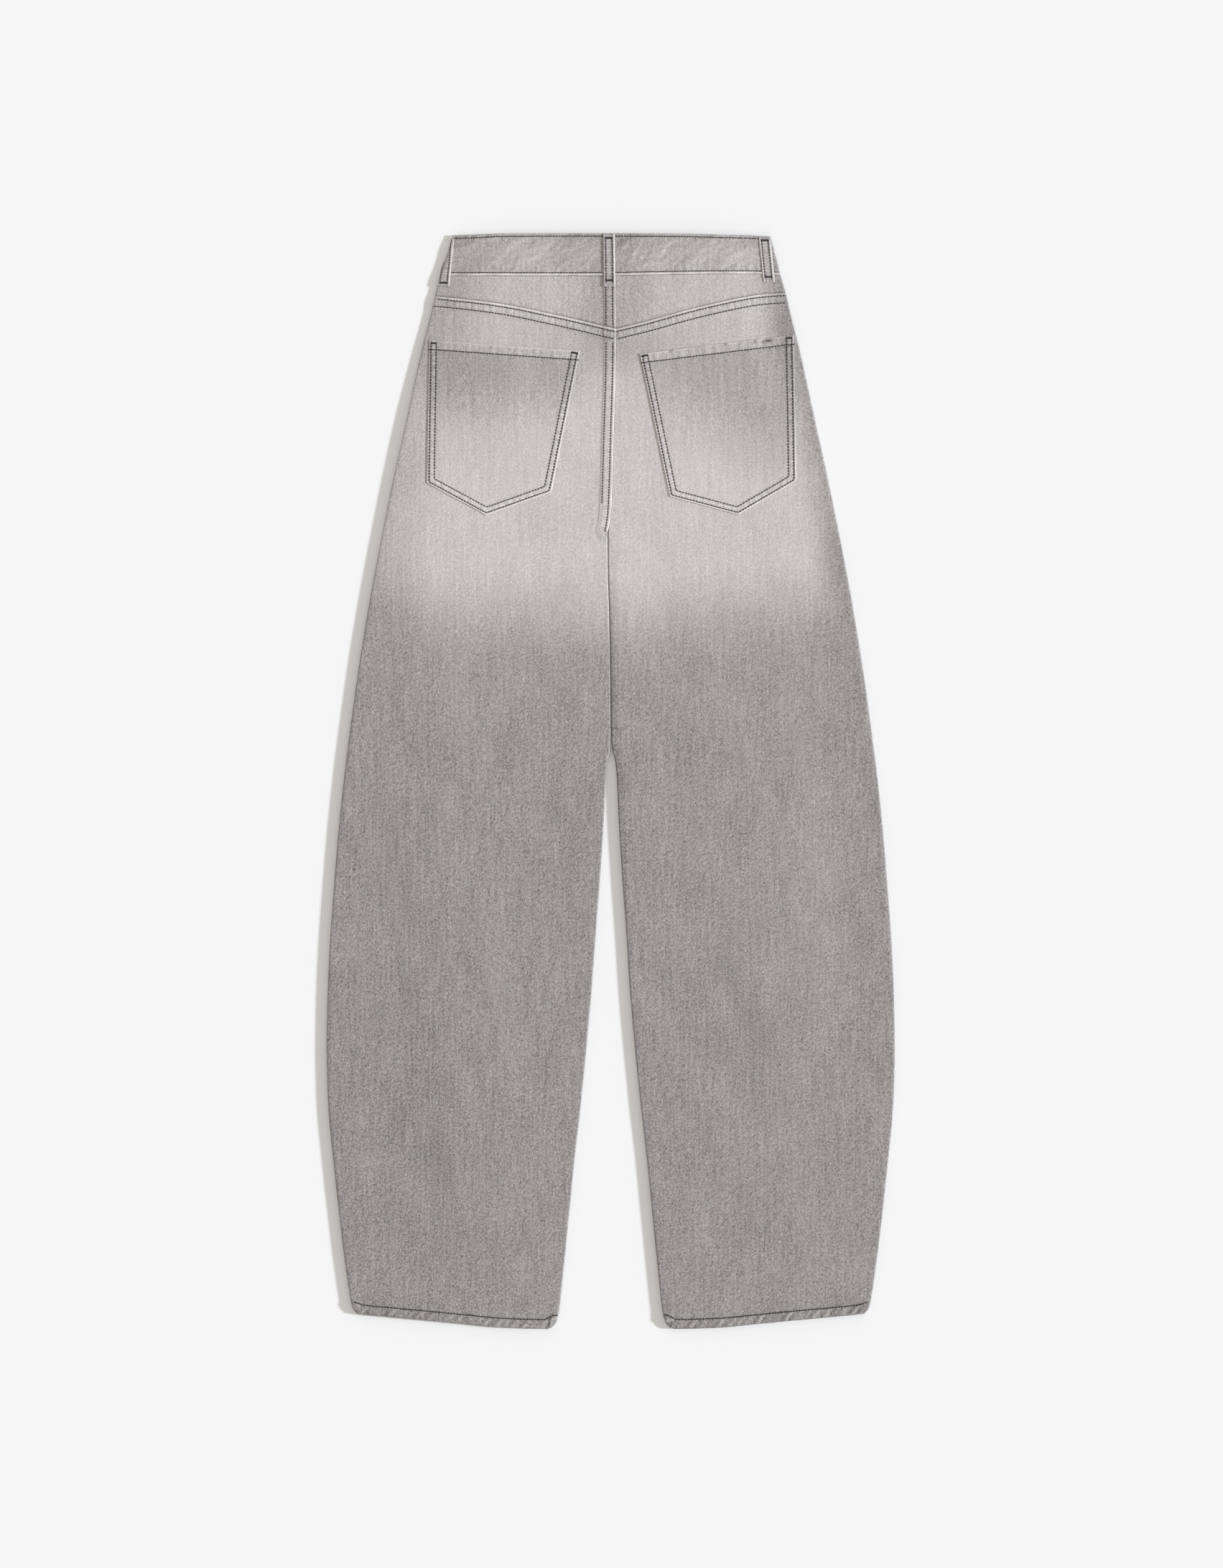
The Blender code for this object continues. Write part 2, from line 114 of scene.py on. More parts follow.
def ripple(at: Array, pitch: float, seed: int) -> Array:
    """Uneven waves from -1 to 1: three sines whose lengths have no common measure.

    Args:
        at: Distance along the seam.
        pitch: Mean distance from crest to crest.
        seed: Seed of the phases.

    Returns:
        The height of the waves at each distance.
    """
    phases = np.random.default_rng(seed).uniform(0.0, 2.0 * np.pi, 4)
    waves = [(0.5, 1.0), (0.36, 0.71), (0.34, 1.43), (0.18, 0.37)]
    total = sum(size * np.sin(2 * np.pi * at / (pitch * length) + phase)
                for (size, length), phase in zip(waves, phases))
    return np.clip(total, -1.0, 1.0)


def pairs(x: Any, down: Any) -> Array:
    """Stack x and down into one array of points."""
    return np.stack(np.broadcast_arrays(np.asarray(x, float), np.asarray(down, float)), -1)


def with_height(places: Array, height: Array) -> Array:
    """Places (..., 2) and their heights as points (..., 3)."""
    return np.concatenate([places, height[..., None]], -1)


@dataclass(frozen=True)
class Line:
    """A smooth line through rows of (place, value), which never swings past a row.

    Each stretch is a cubic whose slope at a row is the harmonic mean of the chords on either side.
    """

    rows: tuple[tuple[float, float], ...]

    def __call__(self, at: Any) -> Array:
        """Value of the line.

        Args:
            at: Places on the line, clipped to its ends.

        Returns:
            The value at each place.
        """
        xs, ys = np.array(self.rows, float).T
        chord = np.diff(ys) / np.diff(xs)
        before, after = chord[:-1], chord[1:]
        same_way = before * after > 0
        mean = 2 * before * after / np.where(same_way, before + after, 1.0)
        slopes = np.concatenate([chord[:1], np.where(same_way, mean, 0.0), chord[-1:]])
        at = np.clip(at, xs[0], xs[-1])
        i = np.clip(np.searchsorted(xs, at) - 1, 0, len(xs) - 2)
        span = xs[i + 1] - xs[i]
        t = (at - xs[i]) / span
        start = (1 + 2 * t) * (1 - t) ** 2 * ys[i] + t * (1 - t) ** 2 * span * slopes[i]
        end = t * t * (3 - 2 * t) * ys[i + 1] + t * t * (t - 1) * span * slopes[i + 1]
        return start + end


@dataclass(frozen=True)
class Route:
    """A way over the cloth through points (x, down)."""

    points: Array

    @classmethod
    def through(cls, *corners: tuple[float, float]) -> "Route":
        """Straight stretches through corners."""
        return cls(np.array(corners, float))

    def flipped(self, flip: bool) -> "Route":
        """The route, the other way round if flip is true."""
        return Route(self.points[::-1]) if flip else self

    def steps(self) -> Array:
        """Distance along the route at each point."""
        lengths = np.linalg.norm(np.diff(self.points, axis=0), axis=1)
        return np.concatenate([[0.0], np.cumsum(lengths)])

    def at(self, distance: Array) -> Array:
        """Points at distances along the route."""
        steps = self.steps()
        return pairs(np.interp(distance, steps, self.points[:, 0]),
                     np.interp(distance, steps, self.points[:, 1]))

    def offset(self, distance: float) -> "Route":
        """The route moved to the right of its way, with mitred corners.

        Args:
            distance: How far, to the side on which down grows when x grows.

        Returns:
            The moved route.
        """
        way = np.diff(self.points, axis=0)
        way = way / np.linalg.norm(way, axis=1, keepdims=True)
        normal = np.stack([-way[:, 1], way[:, 0]], -1)
        first = np.concatenate([normal[:1], normal])
        second = np.concatenate([normal, normal[-1:]])
        share = 1.0 + np.sum(first * second, -1, keepdims=True)
        return Route(self.points + distance * (first + second) / share)

    def near(self, places: Array) -> tuple[Array, Array]:
        """Nearest place on the route.

        The foot of the perpendicular on each stretch is clipped to it, and the nearest foot is kept.

        Args:
            places: Points (..., 2).

        Returns:
            Distance along the route, and signed distance from it, positive on the offset side.
        """
        flat = places.reshape(-1, 2)
        start, way = self.points[:-1], np.diff(self.points, axis=0)
        length = np.linalg.norm(way, axis=1)
        unit = way / length[:, None]
        best = np.full(len(flat), np.inf)
        distance, run = np.zeros(len(flat)), np.zeros(len(flat))
        for origin, direction, size, step in zip(start, unit, length, self.steps()):
            rel = flat - origin
            foot = np.clip(rel @ direction, 0.0, size)
            gap = np.linalg.norm(rel - foot[:, None] * direction, axis=1)
            side = direction[0] * rel[:, 1] - direction[1] * rel[:, 0]
            nearer = gap < best
            best = np.where(nearer, gap, best)
            distance = np.where(nearer, np.where(side < 0, -gap, gap), distance)
            run = np.where(nearer, step + foot, run)
        shape = places.shape[:-1]
        return run.reshape(shape), distance.reshape(shape)


@dataclass(frozen=True)
class Pattern:
    """The lines to which the garment was cut, as the picture shows them."""

    side: Line = Line((
        (42, 168.0), (60, 173.3), (82, 178.4), (110, 185.6), (138, 192.0), (195, 204.5), (252, 217.0),
        (309, 228.3), (366, 238.9), (422, 248.1), (479, 256.2), (536, 263.5), (593, 269.4),
        (650, 274.1), (706, 278.0), (763, 280.3), (806, 281.0), (848, 280.1), (877, 278.5),
        (905, 275.7), (962, 269.6), (1019, 262.7), (1058, 256.7), (1064, 254.9), (1068, 251.5)))
    gap: Line = Line((
        (42, 0), (289, 0), (296, 0.5), (304, 0.5), (312, 0), (500, 0), (512, 1.2), (520, 3.2),
        (530, 4.7), (579, 7.1), (635, 10.6), (692, 14.9), (749, 18.8), (806, 23.8), (863, 29.5),
        (919, 35.9), (976, 41.5), (1033, 47.2), (1061, 50.2), (1074, 52.6), (1079, 55.0),
        (1081.5, 57.5)))
    back_seam: Line = Line((
        (42, 5.0), (110, 5.3), (138, 5.0), (195, 3.3), (238, 2.1), (270, 0.9), (285, -0.6),
        (300, -2.8), (334, -2.5), (380, -1.1), (425, -0.4), (485, 0.2), (530, 0.5), (692, 0.3),
        (749, 0.0), (1082, 0.0)))
    front_seam: Line = Line(((42, 0.0), (150, -0.6), (300, -2.8)))
    yoke_left: Line = Line((
        (0, 94.4), (15, 90.9), (30, 87.3), (50, 82.6), (70, 78.3), (92, 73.5), (114, 69.6),
        (136, 66.5), (156, 64.2), (179, 61.8)))
    yoke_right: Line = Line((
        (0, 94.4), (15, 90.7), (30, 87.0), (50, 81.4), (70, 75.8), (92, 70.4), (114, 65.5),
        (136, 61.3), (156, 59.2), (179, 58.0)))
    band_top: Line = Line((
        (-170, 2.0), (-156, 2.0), (-107, 0.3), (-71, 0.0), (0, 0.0), (35, 0.1), (70, 0.4),
        (106, 1.2), (138, 2.0), (158, 3.0), (170, 3.0)))
    band_bottom: Line = Line((
        (-170, 41.9), (-156, 41.9), (-107, 42.0), (-71, 42.1), (0, 41.9), (35, 41.3), (70, 40.7),
        (106, 40.2), (138, 40.1), (158, 41.0), (170, 41.7)))
    hem: Line = Line((
        (55, 1079.5), (57.5, 1081.5), (64, 1083.7), (107, 1082.5), (142, 1079.2), (178, 1075.7),
        (217, 1072.1), (251.5, 1068.2), (254, 1066.5)))
    hem_inner_x: float = 57.5
    hem_outer_x: float = 251.5
    band_left: tuple[float, float] = (-154.6, -168.0)
    band_right: tuple[float, float] = (158.0, 168.0)
    front_dip: float = 13.0

    def yoke(self, side: Side, x: Array) -> Array:
        """Distance down to the yoke seam at x."""
        line = self.yoke_left if side is Side.LEFT else self.yoke_right
        return line(np.abs(x - self.back_seam(0.0)))

    def dip(self, x: Array) -> Array:
        """How far the front waist hangs below the back waist: a flat arch of the fourth order."""
        return self.front_dip * np.clip(1.0 - (x / self.band_right[0]) ** 2, 0.0, 1.0) ** 2

    def yoke_route(self, side: Side) -> Route:
        """The yoke seam from the centre outwards on the left, and inwards on the right."""
        reach = np.linspace(0.0, 179.0, 60)[::-1]
        x = self.back_seam(0.0) + side.value * reach
        return Route(pairs(x, self.yoke(side, x))).flipped(side is Side.RIGHT)

    def seat_route(self) -> Route:
        """The felled seat seam from the waistband down to the crotch."""
        down = np.linspace(36.0, CROTCH - 4.0, 60)
        return Route(pairs(self.back_seam(down), down))

    def covers(self, places: Array, margin: float = 0.7) -> Array:
        """True for places (..., 2) that lie inside the outline of the legs by a margin."""
        reach, down = np.abs(places[..., 0]), places[..., 1]
        return (reach < self.side(down) - margin) & (reach > self.gap(down) + (down > CROTCH) * margin)

    def hem_route(self, side: Side) -> Route:
        """The fold of the hem, with the leg on its offset side."""
        x = np.linspace(self.hem_inner_x - 8.0, self.hem_outer_x + 8.0, 44)
        return Route(pairs(side.value * x, self.hem(x))).flipped(side is Side.RIGHT)


PATTERN = Pattern()


@dataclass(frozen=True)
class Loft:
    """Heights of the two sides of the lying garment, without seams."""

    leg: float = 5.6
    waist: float = 7.0
    waist_end: float = 60.0
    waist_fade: float = 200.0
    under: float = 1.8
    under_end: float = 80.0
    under_fade: float = 100.0
    stitch_room: float = 0.4
    band: float = 7.6

    def crown(self, down: Array) -> Array:
        """Height of the upper side."""
        return along(self.leg, self.waist, fade(down, self.waist_end, self.waist_fade))

    def lift(self, down: Array) -> Array:
        """Height of the lower side, which stands on its loops and button at the waist."""
        return self.under * fade(down, self.under_end, self.under_fade)

    def side_seam(self, down: Array) -> Array:
        """Height at which front and back meet at the edge of a leg."""
        return 0.5 * (self.crown(down) + self.lift(down))


LOFT = Loft()


@dataclass(frozen=True)
class Effect:
    """What a detail adds to the height, in millimetres, and to the tone, in steps of 255."""

    height: Array
    tone: Array


@dataclass(frozen=True)
class SeamBand:
    """A sewn edge: a fold worn pale, painted shade outside it, stitch rows in their troughs, puckers
    between.
    """

    route: Route
    rows: tuple[float, ...]
    width: float
    raised: float = 0.0
    rounding: float = 0.8
    pucker: tuple[float, float] = (3.4, 9.2)
    pucker_height: float = 0.24
    pucker_tone: float = 15.0
    pitch: float = 6.0
    slant: float = 0.0
    pale: float = 34.0
    pale_at: float = 0.9
    pale_width: float = 1.15
    # Depth of the painted shade on the cloth just outside the fold, as if cast by the raised edge.
    outside_painted_shade: float = 0.0
    inside_tone: float = 3.0
    seed: int = 1

    def effect(self, places: Array) -> Effect:
        """Relief and tone near the seam.

        Args:
            places: Points (..., 2) on the cloth.

        Returns:
            The height and the tone that the seam adds there.
        """
        run, gap = self.route.near(places)
        inside = (gap > -0.05).astype(float)
        band = inside * fade(gap, self.width - 0.8, 1.6)
        height = self.raised * band
        tone = self.inside_tone * band
        edge = np.clip(1.0 - np.clip(gap, 0.0, None) / self.rounding, 0.0, 1.0)
        height = height - inside * self.rounding * 0.8 * (1.0 - np.sqrt(1.0 - edge * edge * 0.98))
        window = ease(gap - self.pucker[0] + 0.5) * fade(gap, self.pucker[1] - 0.5, 1.0)
        waves = ripple(run + self.slant * gap, self.pitch, self.seed)
        height = height + self.pucker_height * window * waves
        tone = tone + self.pucker_tone * window * waves
        patches = 0.75 + 0.25 * ripple(run, 37.0, self.seed + 50)
        tone = tone + inside * self.pale * patches * hump(gap - self.pale_at, self.pale_width)
        for row in self.rows:
            height = height - 0.25 * inside * hump(gap - row, 0.7)
            tone = tone - 18.0 * inside * hump(gap - row, 0.9)
        # Painted shade: the cloth just outside the fold is darkened, as if shaded by the raised edge.
        tone = tone - self.outside_painted_shade * (1.0 - inside) * hump(gap, 1.5)
        return Effect(height, tone)


@dataclass(frozen=True)
class Rumple:
    """Short uneven ridges that all slant one way, stronger in some patches than in others."""

    angle: float
    pitch: float
    length: float
    height: float
    tone: float
    seed: int

    def effect(self, places: Array) -> Effect:
        """Relief and tone of the ridges at places (..., 2).

        Waves run across the slant, bent a little by slower waves along it, and slow waves in both
        directions make them swell and fade.
        """
        turn = np.radians(self.angle)
        x, up = places[..., 0], -places[..., 1]
        run = x * np.cos(turn) + up * np.sin(turn)
        off = -x * np.sin(turn) + up * np.cos(turn)
        bend = 0.5 * self.pitch * ripple(run, self.length, self.seed)
        waves = ripple(off + bend, self.pitch, self.seed + 1)
        swell = 0.5 + 0.5 * ripple(run + 1.7 * off, 0.8 * self.length, self.seed + 2)
        shape = waves * (0.25 + 0.75 * swell)
        return Effect(self.height * shape, self.tone * shape)


@dataclass(frozen=True)
class Crease:
    """A soft ridge or trough: a bell across it and a long smooth swell along it."""

    x: float
    down: float
    angle: float
    length: float
    width: float
    height: float
    tone: float = 0.0

    def effect(self, places: Array) -> Effect:
        """Relief and tone of the crease at places (..., 2)."""
        turn = np.radians(self.angle)
        dx, dy = places[..., 0] - self.x, -(places[..., 1] - self.down)
        run = dx * np.cos(turn) + dy * np.sin(turn)
        off = -dx * np.sin(turn) + dy * np.cos(turn)
        bend = 0.06 * self.length * np.sin(np.pi * run / self.length)
        swell = ease(1.0 - np.abs(run) / (0.5 * self.length))
        shape = swell * hump(off - bend, self.width)
        return Effect(self.height * shape, self.tone * shape)


@dataclass(frozen=True)
class Patch:
    """A soft patch of another tone: a bell across it times a bell down it."""

    x: float
    width: float
    down: float
    height: float
    tone: float

    def at(self, x: Array, down: Array) -> Array:
        """Tone that the patch adds at x and down."""
        return self.tone * hump(x - self.x, self.width) * hump(down - self.down, self.height)


SEAT_PATCHES = (
    Patch(168.0, 12.0, 94.0, 14.0, -14.0), Patch(-32.0, 14.0, 140.0, 26.0, -10.0),
    Patch(186.0, 48.0, 620.0, 240.0, 7.0), Patch(50.0, 26.0, 150.0, 60.0, -6.0))
POCKET_PATCHES = (
    Patch(-135.0, 40.0, 168.0, 38.0, -18.0), Patch(-58.0, 28.0, 156.0, 34.0, -17.0),
    Patch(-120.0, 50.0, 210.0, 30.0, -5.0), Patch(158.0, 34.0, 185.0, 60.0, -7.0))


@dataclass(frozen=True)
class WashAndShade:
    """Stone wash and some painted shade: the tone of the cloth as a level from 0 to 255 before its grain.
    """

    leg: float = 150.0
    seat: float = 198.5
    band: float = 181.0
    fade_down: float = 389.0
    fade_bow: float = 0.0007
    fade_half: float = 60.0

    def seat_tone(self, places: Array) -> Array:
        """Tone of legs, yokes and seat at places (..., 2).

        The seat is pale down to a bowed line on the thighs, darker along its sides, under the yoke
        seam, by the centre seam of the yoke, and where the hips turn. Painted shade darkens the right
        leg's inner edge, which turns away from the light.
        """
        x, down = places[..., 0], places[..., 1]
        edge = self.fade_down - self.fade_bow * x * x + 7.0 * ripple(x, 190.0, 3)
        pale = fade(down, edge - self.fade_half, 2 * self.fade_half)
        tone = along(self.leg, self.seat, pale) + 5.0 * hump(down - edge - 62.0, 45.0)
        from_side = PATTERN.side(down) - np.abs(x)
        left_side = 17.0 * fade(from_side, 0.0, 64.0)
        right_side = along(32.0, 46.0, ease((down - 240.0) / 90.0)) * fade(from_side, 0.0, 36.0)
        tone = tone - pale * np.where(x < 0, left_side, right_side)
        tone = tone - 8.0 * fade(down, 118.0, 52.0)
        tone = tone - 20.0 * hump(x - 4.0, 42.0) * fade(down, 108.0, 40.0)
        hips = fade(from_side, 0.0, 42.0) * fade(down, 110.0, 90.0)
        tone = tone - np.where(x < 0, 5.0, 6.0) * hips
        tone = tone - 4.0 * hump(x + 205.0, 65.0) * ease((down - 640.0) / 160.0)
        # Painted shade: the right leg's inner edge turns away from the light from the right and is
        # darkened here.
        from_middle = x - PATTERN.back_seam(down) - PATTERN.gap(down)
        shade = (x > 0) * fade(from_middle, 0.0, 11.0) * ease((down - 300.0) / 30.0)
        tone = tone - 17.0 * shade * (1 - 0.6 * ease((down - 560.0) / 200.0))
        return tone + sum(patch.at(x, down) for patch in SEAT_PATCHES)

    def pocket_tone(self, places: Array) -> Array:
        """Tone of the pockets: darker over the upper half, and longest so at the outer side."""
        x, down = places[..., 0], places[..., 1]
        left = hump(x + 118.0, 80.0) * fade(down, 132.0, 70.0)
        right = hump(x - 118.0, 85.0) * fade(down, 150.0 + 0.42 * (x - 100.0), 100.0)
        tone = self.seat_tone(places) + 4.0 - 26.0 * left - 29.0 * right
        return tone + sum(patch.at(x, down) for patch in POCKET_PATCHES)

    def band_tone(self, places: Array) -> Array:
        """Tone of the waistband: darker at its ends, beside the loop and along its top."""
        x, down = places[..., 0], places[..., 1]
        tone = self.band - 7.0 * fade(down, 4.0, 18.0)
        tone = tone - 21.0 * hump(x - 6.0, 22.0) - 10.0 * hump(x + 36.0, 16.0)
        tone = tone - 14.0 * hump(x + 152.0, 22.0) - 30.0 * hump(x - 162.0, 14.0)
        tone = tone - 8.0 * hump(x - 134.0, 12.0) * fade(down, 8.0, 16.0)
        blotch = ripple(x + 1.3 * down, 41.0, 12) + 0.8 * ripple(x * 0.7 + 2.4 * down, 19.0, 14)
        return tone + 4.0 * blotch


WASH_AND_SHADE = WashAndShade()


@dataclass(frozen=True)
class Tint:
    """Ends of the scale from worn-in dye to worn-out dye, and how a tone becomes a place on it."""

    dark: tuple[float, float, float, float] = (0.016, 0.012, 0.0145, 1.0)
    pale: tuple[float, float, float, float] = (0.990, 0.948, 0.923, 1.0)
    gain: float = 0.995

    def paleness(self, tone: Array) -> Array:
        """Place on the dye scale for a tone, painted shade and light included: the display curve undone,
        then scaled between the ends.
        """
        level = np.clip(tone, 20.0, 250.0) / 255.0
        linear = ((level + 0.055) / 1.055) ** 2.4 * self.gain
        return np.clip((linear - self.dark[1]) / (self.pale[1] - self.dark[1]), 0.0, 1.0)


TINT = Tint()


class Socket:
    """One output in a material's nodes. Arithmetic on it adds Math nodes."""

    def __init__(self, nodes: "Nodes", output: Any) -> None:
        """Wrap an output of the given nodes."""
        self.nodes = nodes
        self.output = output

    def math(self, operation: str, *others: Any, flip: bool = False) -> "Socket":
        """Add a Math node.

        Args:
            operation: Name of the operation.
            others: The other operands, numbers or sockets.
            flip: True if the socket comes after the first other operand.

        Returns:
            The result.
        """
        operands = [*others, self] if flip else [self, *others]
        node = self.nodes.add("ShaderNodeMath", {"operation": operation}, dict(enumerate(operands)))
        return Socket(self.nodes, node.outputs[0])

    def __add__(self, other: Any) -> "Socket":
        """Sum."""
        return self.math("ADD", other)

    __radd__ = __add__

    def __mul__(self, other: Any) -> "Socket":
        """Product."""
        return self.math("MULTIPLY", other)

    __rmul__ = __mul__

    def __sub__(self, other: Any) -> "Socket":
        """Difference."""
        return self.math("SUBTRACT", other)

    def __rsub__(self, other: Any) -> "Socket":
        """Difference with the socket last."""
        return self.math("SUBTRACT", other, flip=True)


class Nodes:
    """A material and the one method that adds nodes to it."""

    def __init__(self, name: str) -> None:
        """Start a material with a Principled shader."""
        self.material = bpy.data.materials.new(name)
        self.material.use_nodes = True
        self.tree = self.material.node_tree
        self.shader = self.tree.nodes["Principled BSDF"]

    def add(self, kind: str, settings: dict[str, Any], inputs: dict[Any, Any]) -> Any:
        """Add a node.

        Args:
            kind: The node's type.
            settings: Its properties, set first.
            inputs: Values or sockets for its inputs, by name or number.

        Returns:
            The node.
        """
        node = self.tree.nodes.new(kind)
        for name, value in settings.items():
            setattr(node, name, value)
        for name, value in inputs.items():
            self.feed(node.inputs[name], value)
        return node

    def feed(self, target: Any, value: Any) -> None:
        """Link a socket to an input, or set its value."""
        if isinstance(value, Socket):
            self.tree.links.new(value.output, target)
        else:
            target.default_value = value

    def noise(self, cell: tuple[float, float, float], turn: float, detail: float) -> Socket:
        """Noise on Object coordinates.

        Args:
            cell: Size of a cell along each axis, in millimetres.
            turn: Angle of the cells about Z, in degrees.
            detail: Octaves.

        Returns:
            The noise, from 0 to 1.
        """
        coordinates = self.add("ShaderNodeTexCoord", {}, {})
        turned = self.add("ShaderNodeMapping", {"vector_type": "TEXTURE"}, {
            "Vector": Socket(self, coordinates.outputs["Object"]),
            "Rotation": (0.0, 0.0, np.radians(turn)),
            "Scale": tuple(size / 1000.0 for size in cell)})
        noise = self.add("ShaderNodeTexNoise", {}, {
            "Vector": Socket(self, turned.outputs[0]), "Scale": 1.0, "Detail": detail})
        return Socket(self, noise.outputs[0])

    def finish(self, surface: dict[str, Any]) -> bpy.types.Material:
        """Feed the shader's inputs and return the material."""
        for name, value in surface.items():
            self.feed(self.shader.inputs[name], value)
        return self.material


@dataclass(frozen=True)
class DenimFinish:
    """Washed twill: colour from the cloth's own tone with its painted shade and light, diagonal grain,
    slubs and soft blotches.
    """

    name: str = "washed_denim"
    grain: float = 1.25
    grain_loss: float = 0.75
    slub: float = 0.20
    blotch: float = 0.10
    roughness: float = 0.92

    def material(self) -> bpy.types.Material:
        """Build the material."""
        nodes = Nodes(self.name)
        tone = nodes.add("ShaderNodeAttribute", {"attribute_name": "paleness"}, {})
        paleness = Socket(nodes, tone.outputs["Fac"])
        twill = nodes.noise((0.75, 1.7, 0.75), -38.0, 2.0)
        fleck = nodes.noise((1.1, 2.6, 1.1), 32.0, 1.0)
        slub = nodes.noise((2.6, 46.0, 3.0), 0.0, 3.0)
        blotch = nodes.noise((34.0, 60.0, 30.0), 8.0, 3.0)
        grain = (twill - 0.5) * 0.62 + (fleck - 0.5) * 0.38
        strength = self.grain - paleness * self.grain_loss
        dye = paleness + grain * strength + (slub - 0.5) * self.slub + (blotch - 0.5) * self.blotch
        color = nodes.add("ShaderNodeMix", {"data_type": "RGBA", "clamp_factor": True}, {
            0: dye, 6: TINT.dark, 7: TINT.pale})
        bump = nodes.add("ShaderNodeBump", {}, {
            "Height": grain, "Strength": 0.35, "Distance": 0.0004})
        return nodes.finish({
            "Base Color": Socket(nodes, color.outputs[2]), "Roughness": self.roughness,
            "Normal": Socket(nodes, bump.outputs[0]), "Sheen Weight": 0.08, "Specular IOR Level": 0.2})


@dataclass(frozen=True)
class ThreadFinish:
    """Spun sewing thread with a little twist."""

    name: str
    color: tuple[float, float, float, float]

    def material(self) -> bpy.types.Material:
        """Build the material."""
        nodes = Nodes(self.name)
        twist = nodes.noise((0.35, 0.9, 0.35), 40.0, 1.0)
        lighter = tuple(min(1.0, value * 2.6 + 0.01) for value in self.color[:3]) + (1.0,)
        color = nodes.add("ShaderNodeMix", {"data_type": "RGBA"}, {
            0: twist, 6: self.color, 7: lighter})
        bump = nodes.add("ShaderNodeBump", {}, {
            "Height": twist, "Strength": 0.4, "Distance": 0.0002})
        return nodes.finish({
            "Base Color": Socket(nodes, color.outputs[2]), "Roughness": 0.75,
            "Normal": Socket(nodes, bump.outputs[0])})


@dataclass(frozen=True)
class ButtonFinish:
    """Dark antique metal, rubbed bright in places."""

    name: str = "antique_button"

    def material(self) -> bpy.types.Material:
        """Build the material."""
        nodes = Nodes(self.name)
        rub = nodes.noise((2.4, 2.4, 2.4), 0.0, 4.0)
        color = nodes.add("ShaderNodeMix", {"data_type": "RGBA"}, {
            0: rub, 6: (0.05, 0.045, 0.04, 1.0), 7: (0.42, 0.38, 0.33, 1.0)})
        return nodes.finish({
            "Base Color": Socket(nodes, color.outputs[2]), "Metallic": 1.0,
            "Roughness": rub * 0.3 + 0.25})


@dataclass(frozen=True)
class Place:
    """Turns millimetres on the garment into metres in the frame, by the waist button's own place."""

    shift_x: float
    shift_y: float
    sink: float = 0.42
    sink_reach: float = 60.0
    sink_end: float = 70.0
    sink_fade: float = 150.0

    @classmethod
    def from_frame(cls) -> "Place":
        """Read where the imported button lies."""
        low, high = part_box("button")
        return cls((low[0] + high[0]) / 2, (low[1] + high[1]) / 2 + BUTTON_DOWN / 1000)

    def metres(self, points: Array) -> Array:
        """Points (x, down, height) as metres in the frame.

        The waist lies lower towards its two ends: heights there shrink by up to the sink.
        """
        down = points[..., 1]
        reach = np.where(down < 42.0, 156.0 + 0.29 * down, PATTERN.side(down))
        at_end = fade(reach - np.abs(points[..., 0]), 0.0, self.sink_reach)
        sink = self.sink * at_end * fade(down, self.sink_end, self.sink_fade)
        x = points[..., 0] / 1000 + self.shift_x
        y = self.shift_y - down / 1000
        return np.stack([x, y, points[..., 2] * (1 - sink) / 1000], -1)


PLACE = Place.from_frame()


def add_mesh(name: str, points: Array, faces: Array, material: bpy.types.Material) -> bpy.types.Object:
    """Put a mesh into the scene.

    Args:
        name: Name of the piece.
        points: Vertices (n, 3), in metres.
        faces: Quads (m, 4) of vertex numbers.
        material: Its finish.

    Returns:
        The object, smooth shaded.
    """
    mesh = bpy.data.meshes.new(name)
    mesh.from_pydata(points.tolist(), [], faces.tolist())
    mesh.shade_smooth()
    mesh.materials.append(material)
    made = bpy.data.objects.new(name, mesh)
    bpy.context.scene.collection.objects.link(made)
    return made


def face_outwards(piece: bpy.types.Object) -> None:
    """Turn the faces of a closed mesh outwards."""
    shell = bmesh.new()
    shell.from_mesh(piece.data)
    bmesh.ops.recalc_face_normals(shell, faces=shell.faces)
    shell.to_mesh(piece.data)
    shell.free()


@dataclass
class Cloth:
    """A cut piece of cloth, as a closed wall between two grids of points."""

    node: str
    finish: bpy.types.Material
    rests_on: tuple[str, ...] = ("front_leg_left",)

    def wall(self, outer: Array, inner: Array, tone: Array) -> bpy.types.Object:
        """Build the wall and its tones, then hang it under the root body and hide its imported part.

        Args:
            outer: Outer skin (rows, columns, 3) as x, down and height.
            inner: Inner skin of the same size.
            tone: Tone of each outer point.

        Returns:
            The finished piece.
        """
        rows, columns = outer.shape[:2]
        count = rows * columns
        index = np.arange(count).reshape(rows, columns)
        skin = np.stack([index[:-1, :-1], index[1:, :-1], index[1:, 1:], index[:-1, 1:]], -1)
        skin = skin.reshape(-1, 4)
        ring = np.concatenate([index[0, :-1], index[:-1, -1], index[-1, :0:-1], index[:0:-1, 0]])
        following = np.roll(ring, -1)
        rim = np.stack([ring, following, following + count, ring + count], -1)
        faces = np.concatenate([skin, skin[:, ::-1] + count, rim])
        points = PLACE.metres(np.concatenate([outer.reshape(-1, 3), inner.reshape(-1, 3)]))
        piece = add_mesh(self.node + "_cloth", points, faces, self.finish)
        face_outwards(piece)
        paleness = TINT.paleness(np.concatenate([tone.ravel(), tone.ravel()]))
        attribute = piece.data.attributes.new("paleness", "FLOAT", "POINT")
        attribute.data.foreach_set("value", paleness.astype(np.float32))
        self.declare(piece)
        return piece

    def declare(self, piece: bpy.types.Object) -> None:
        """Hang the piece under the root body and hide the imported part of the same name."""
        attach(piece, "root")
        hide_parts(self.node)


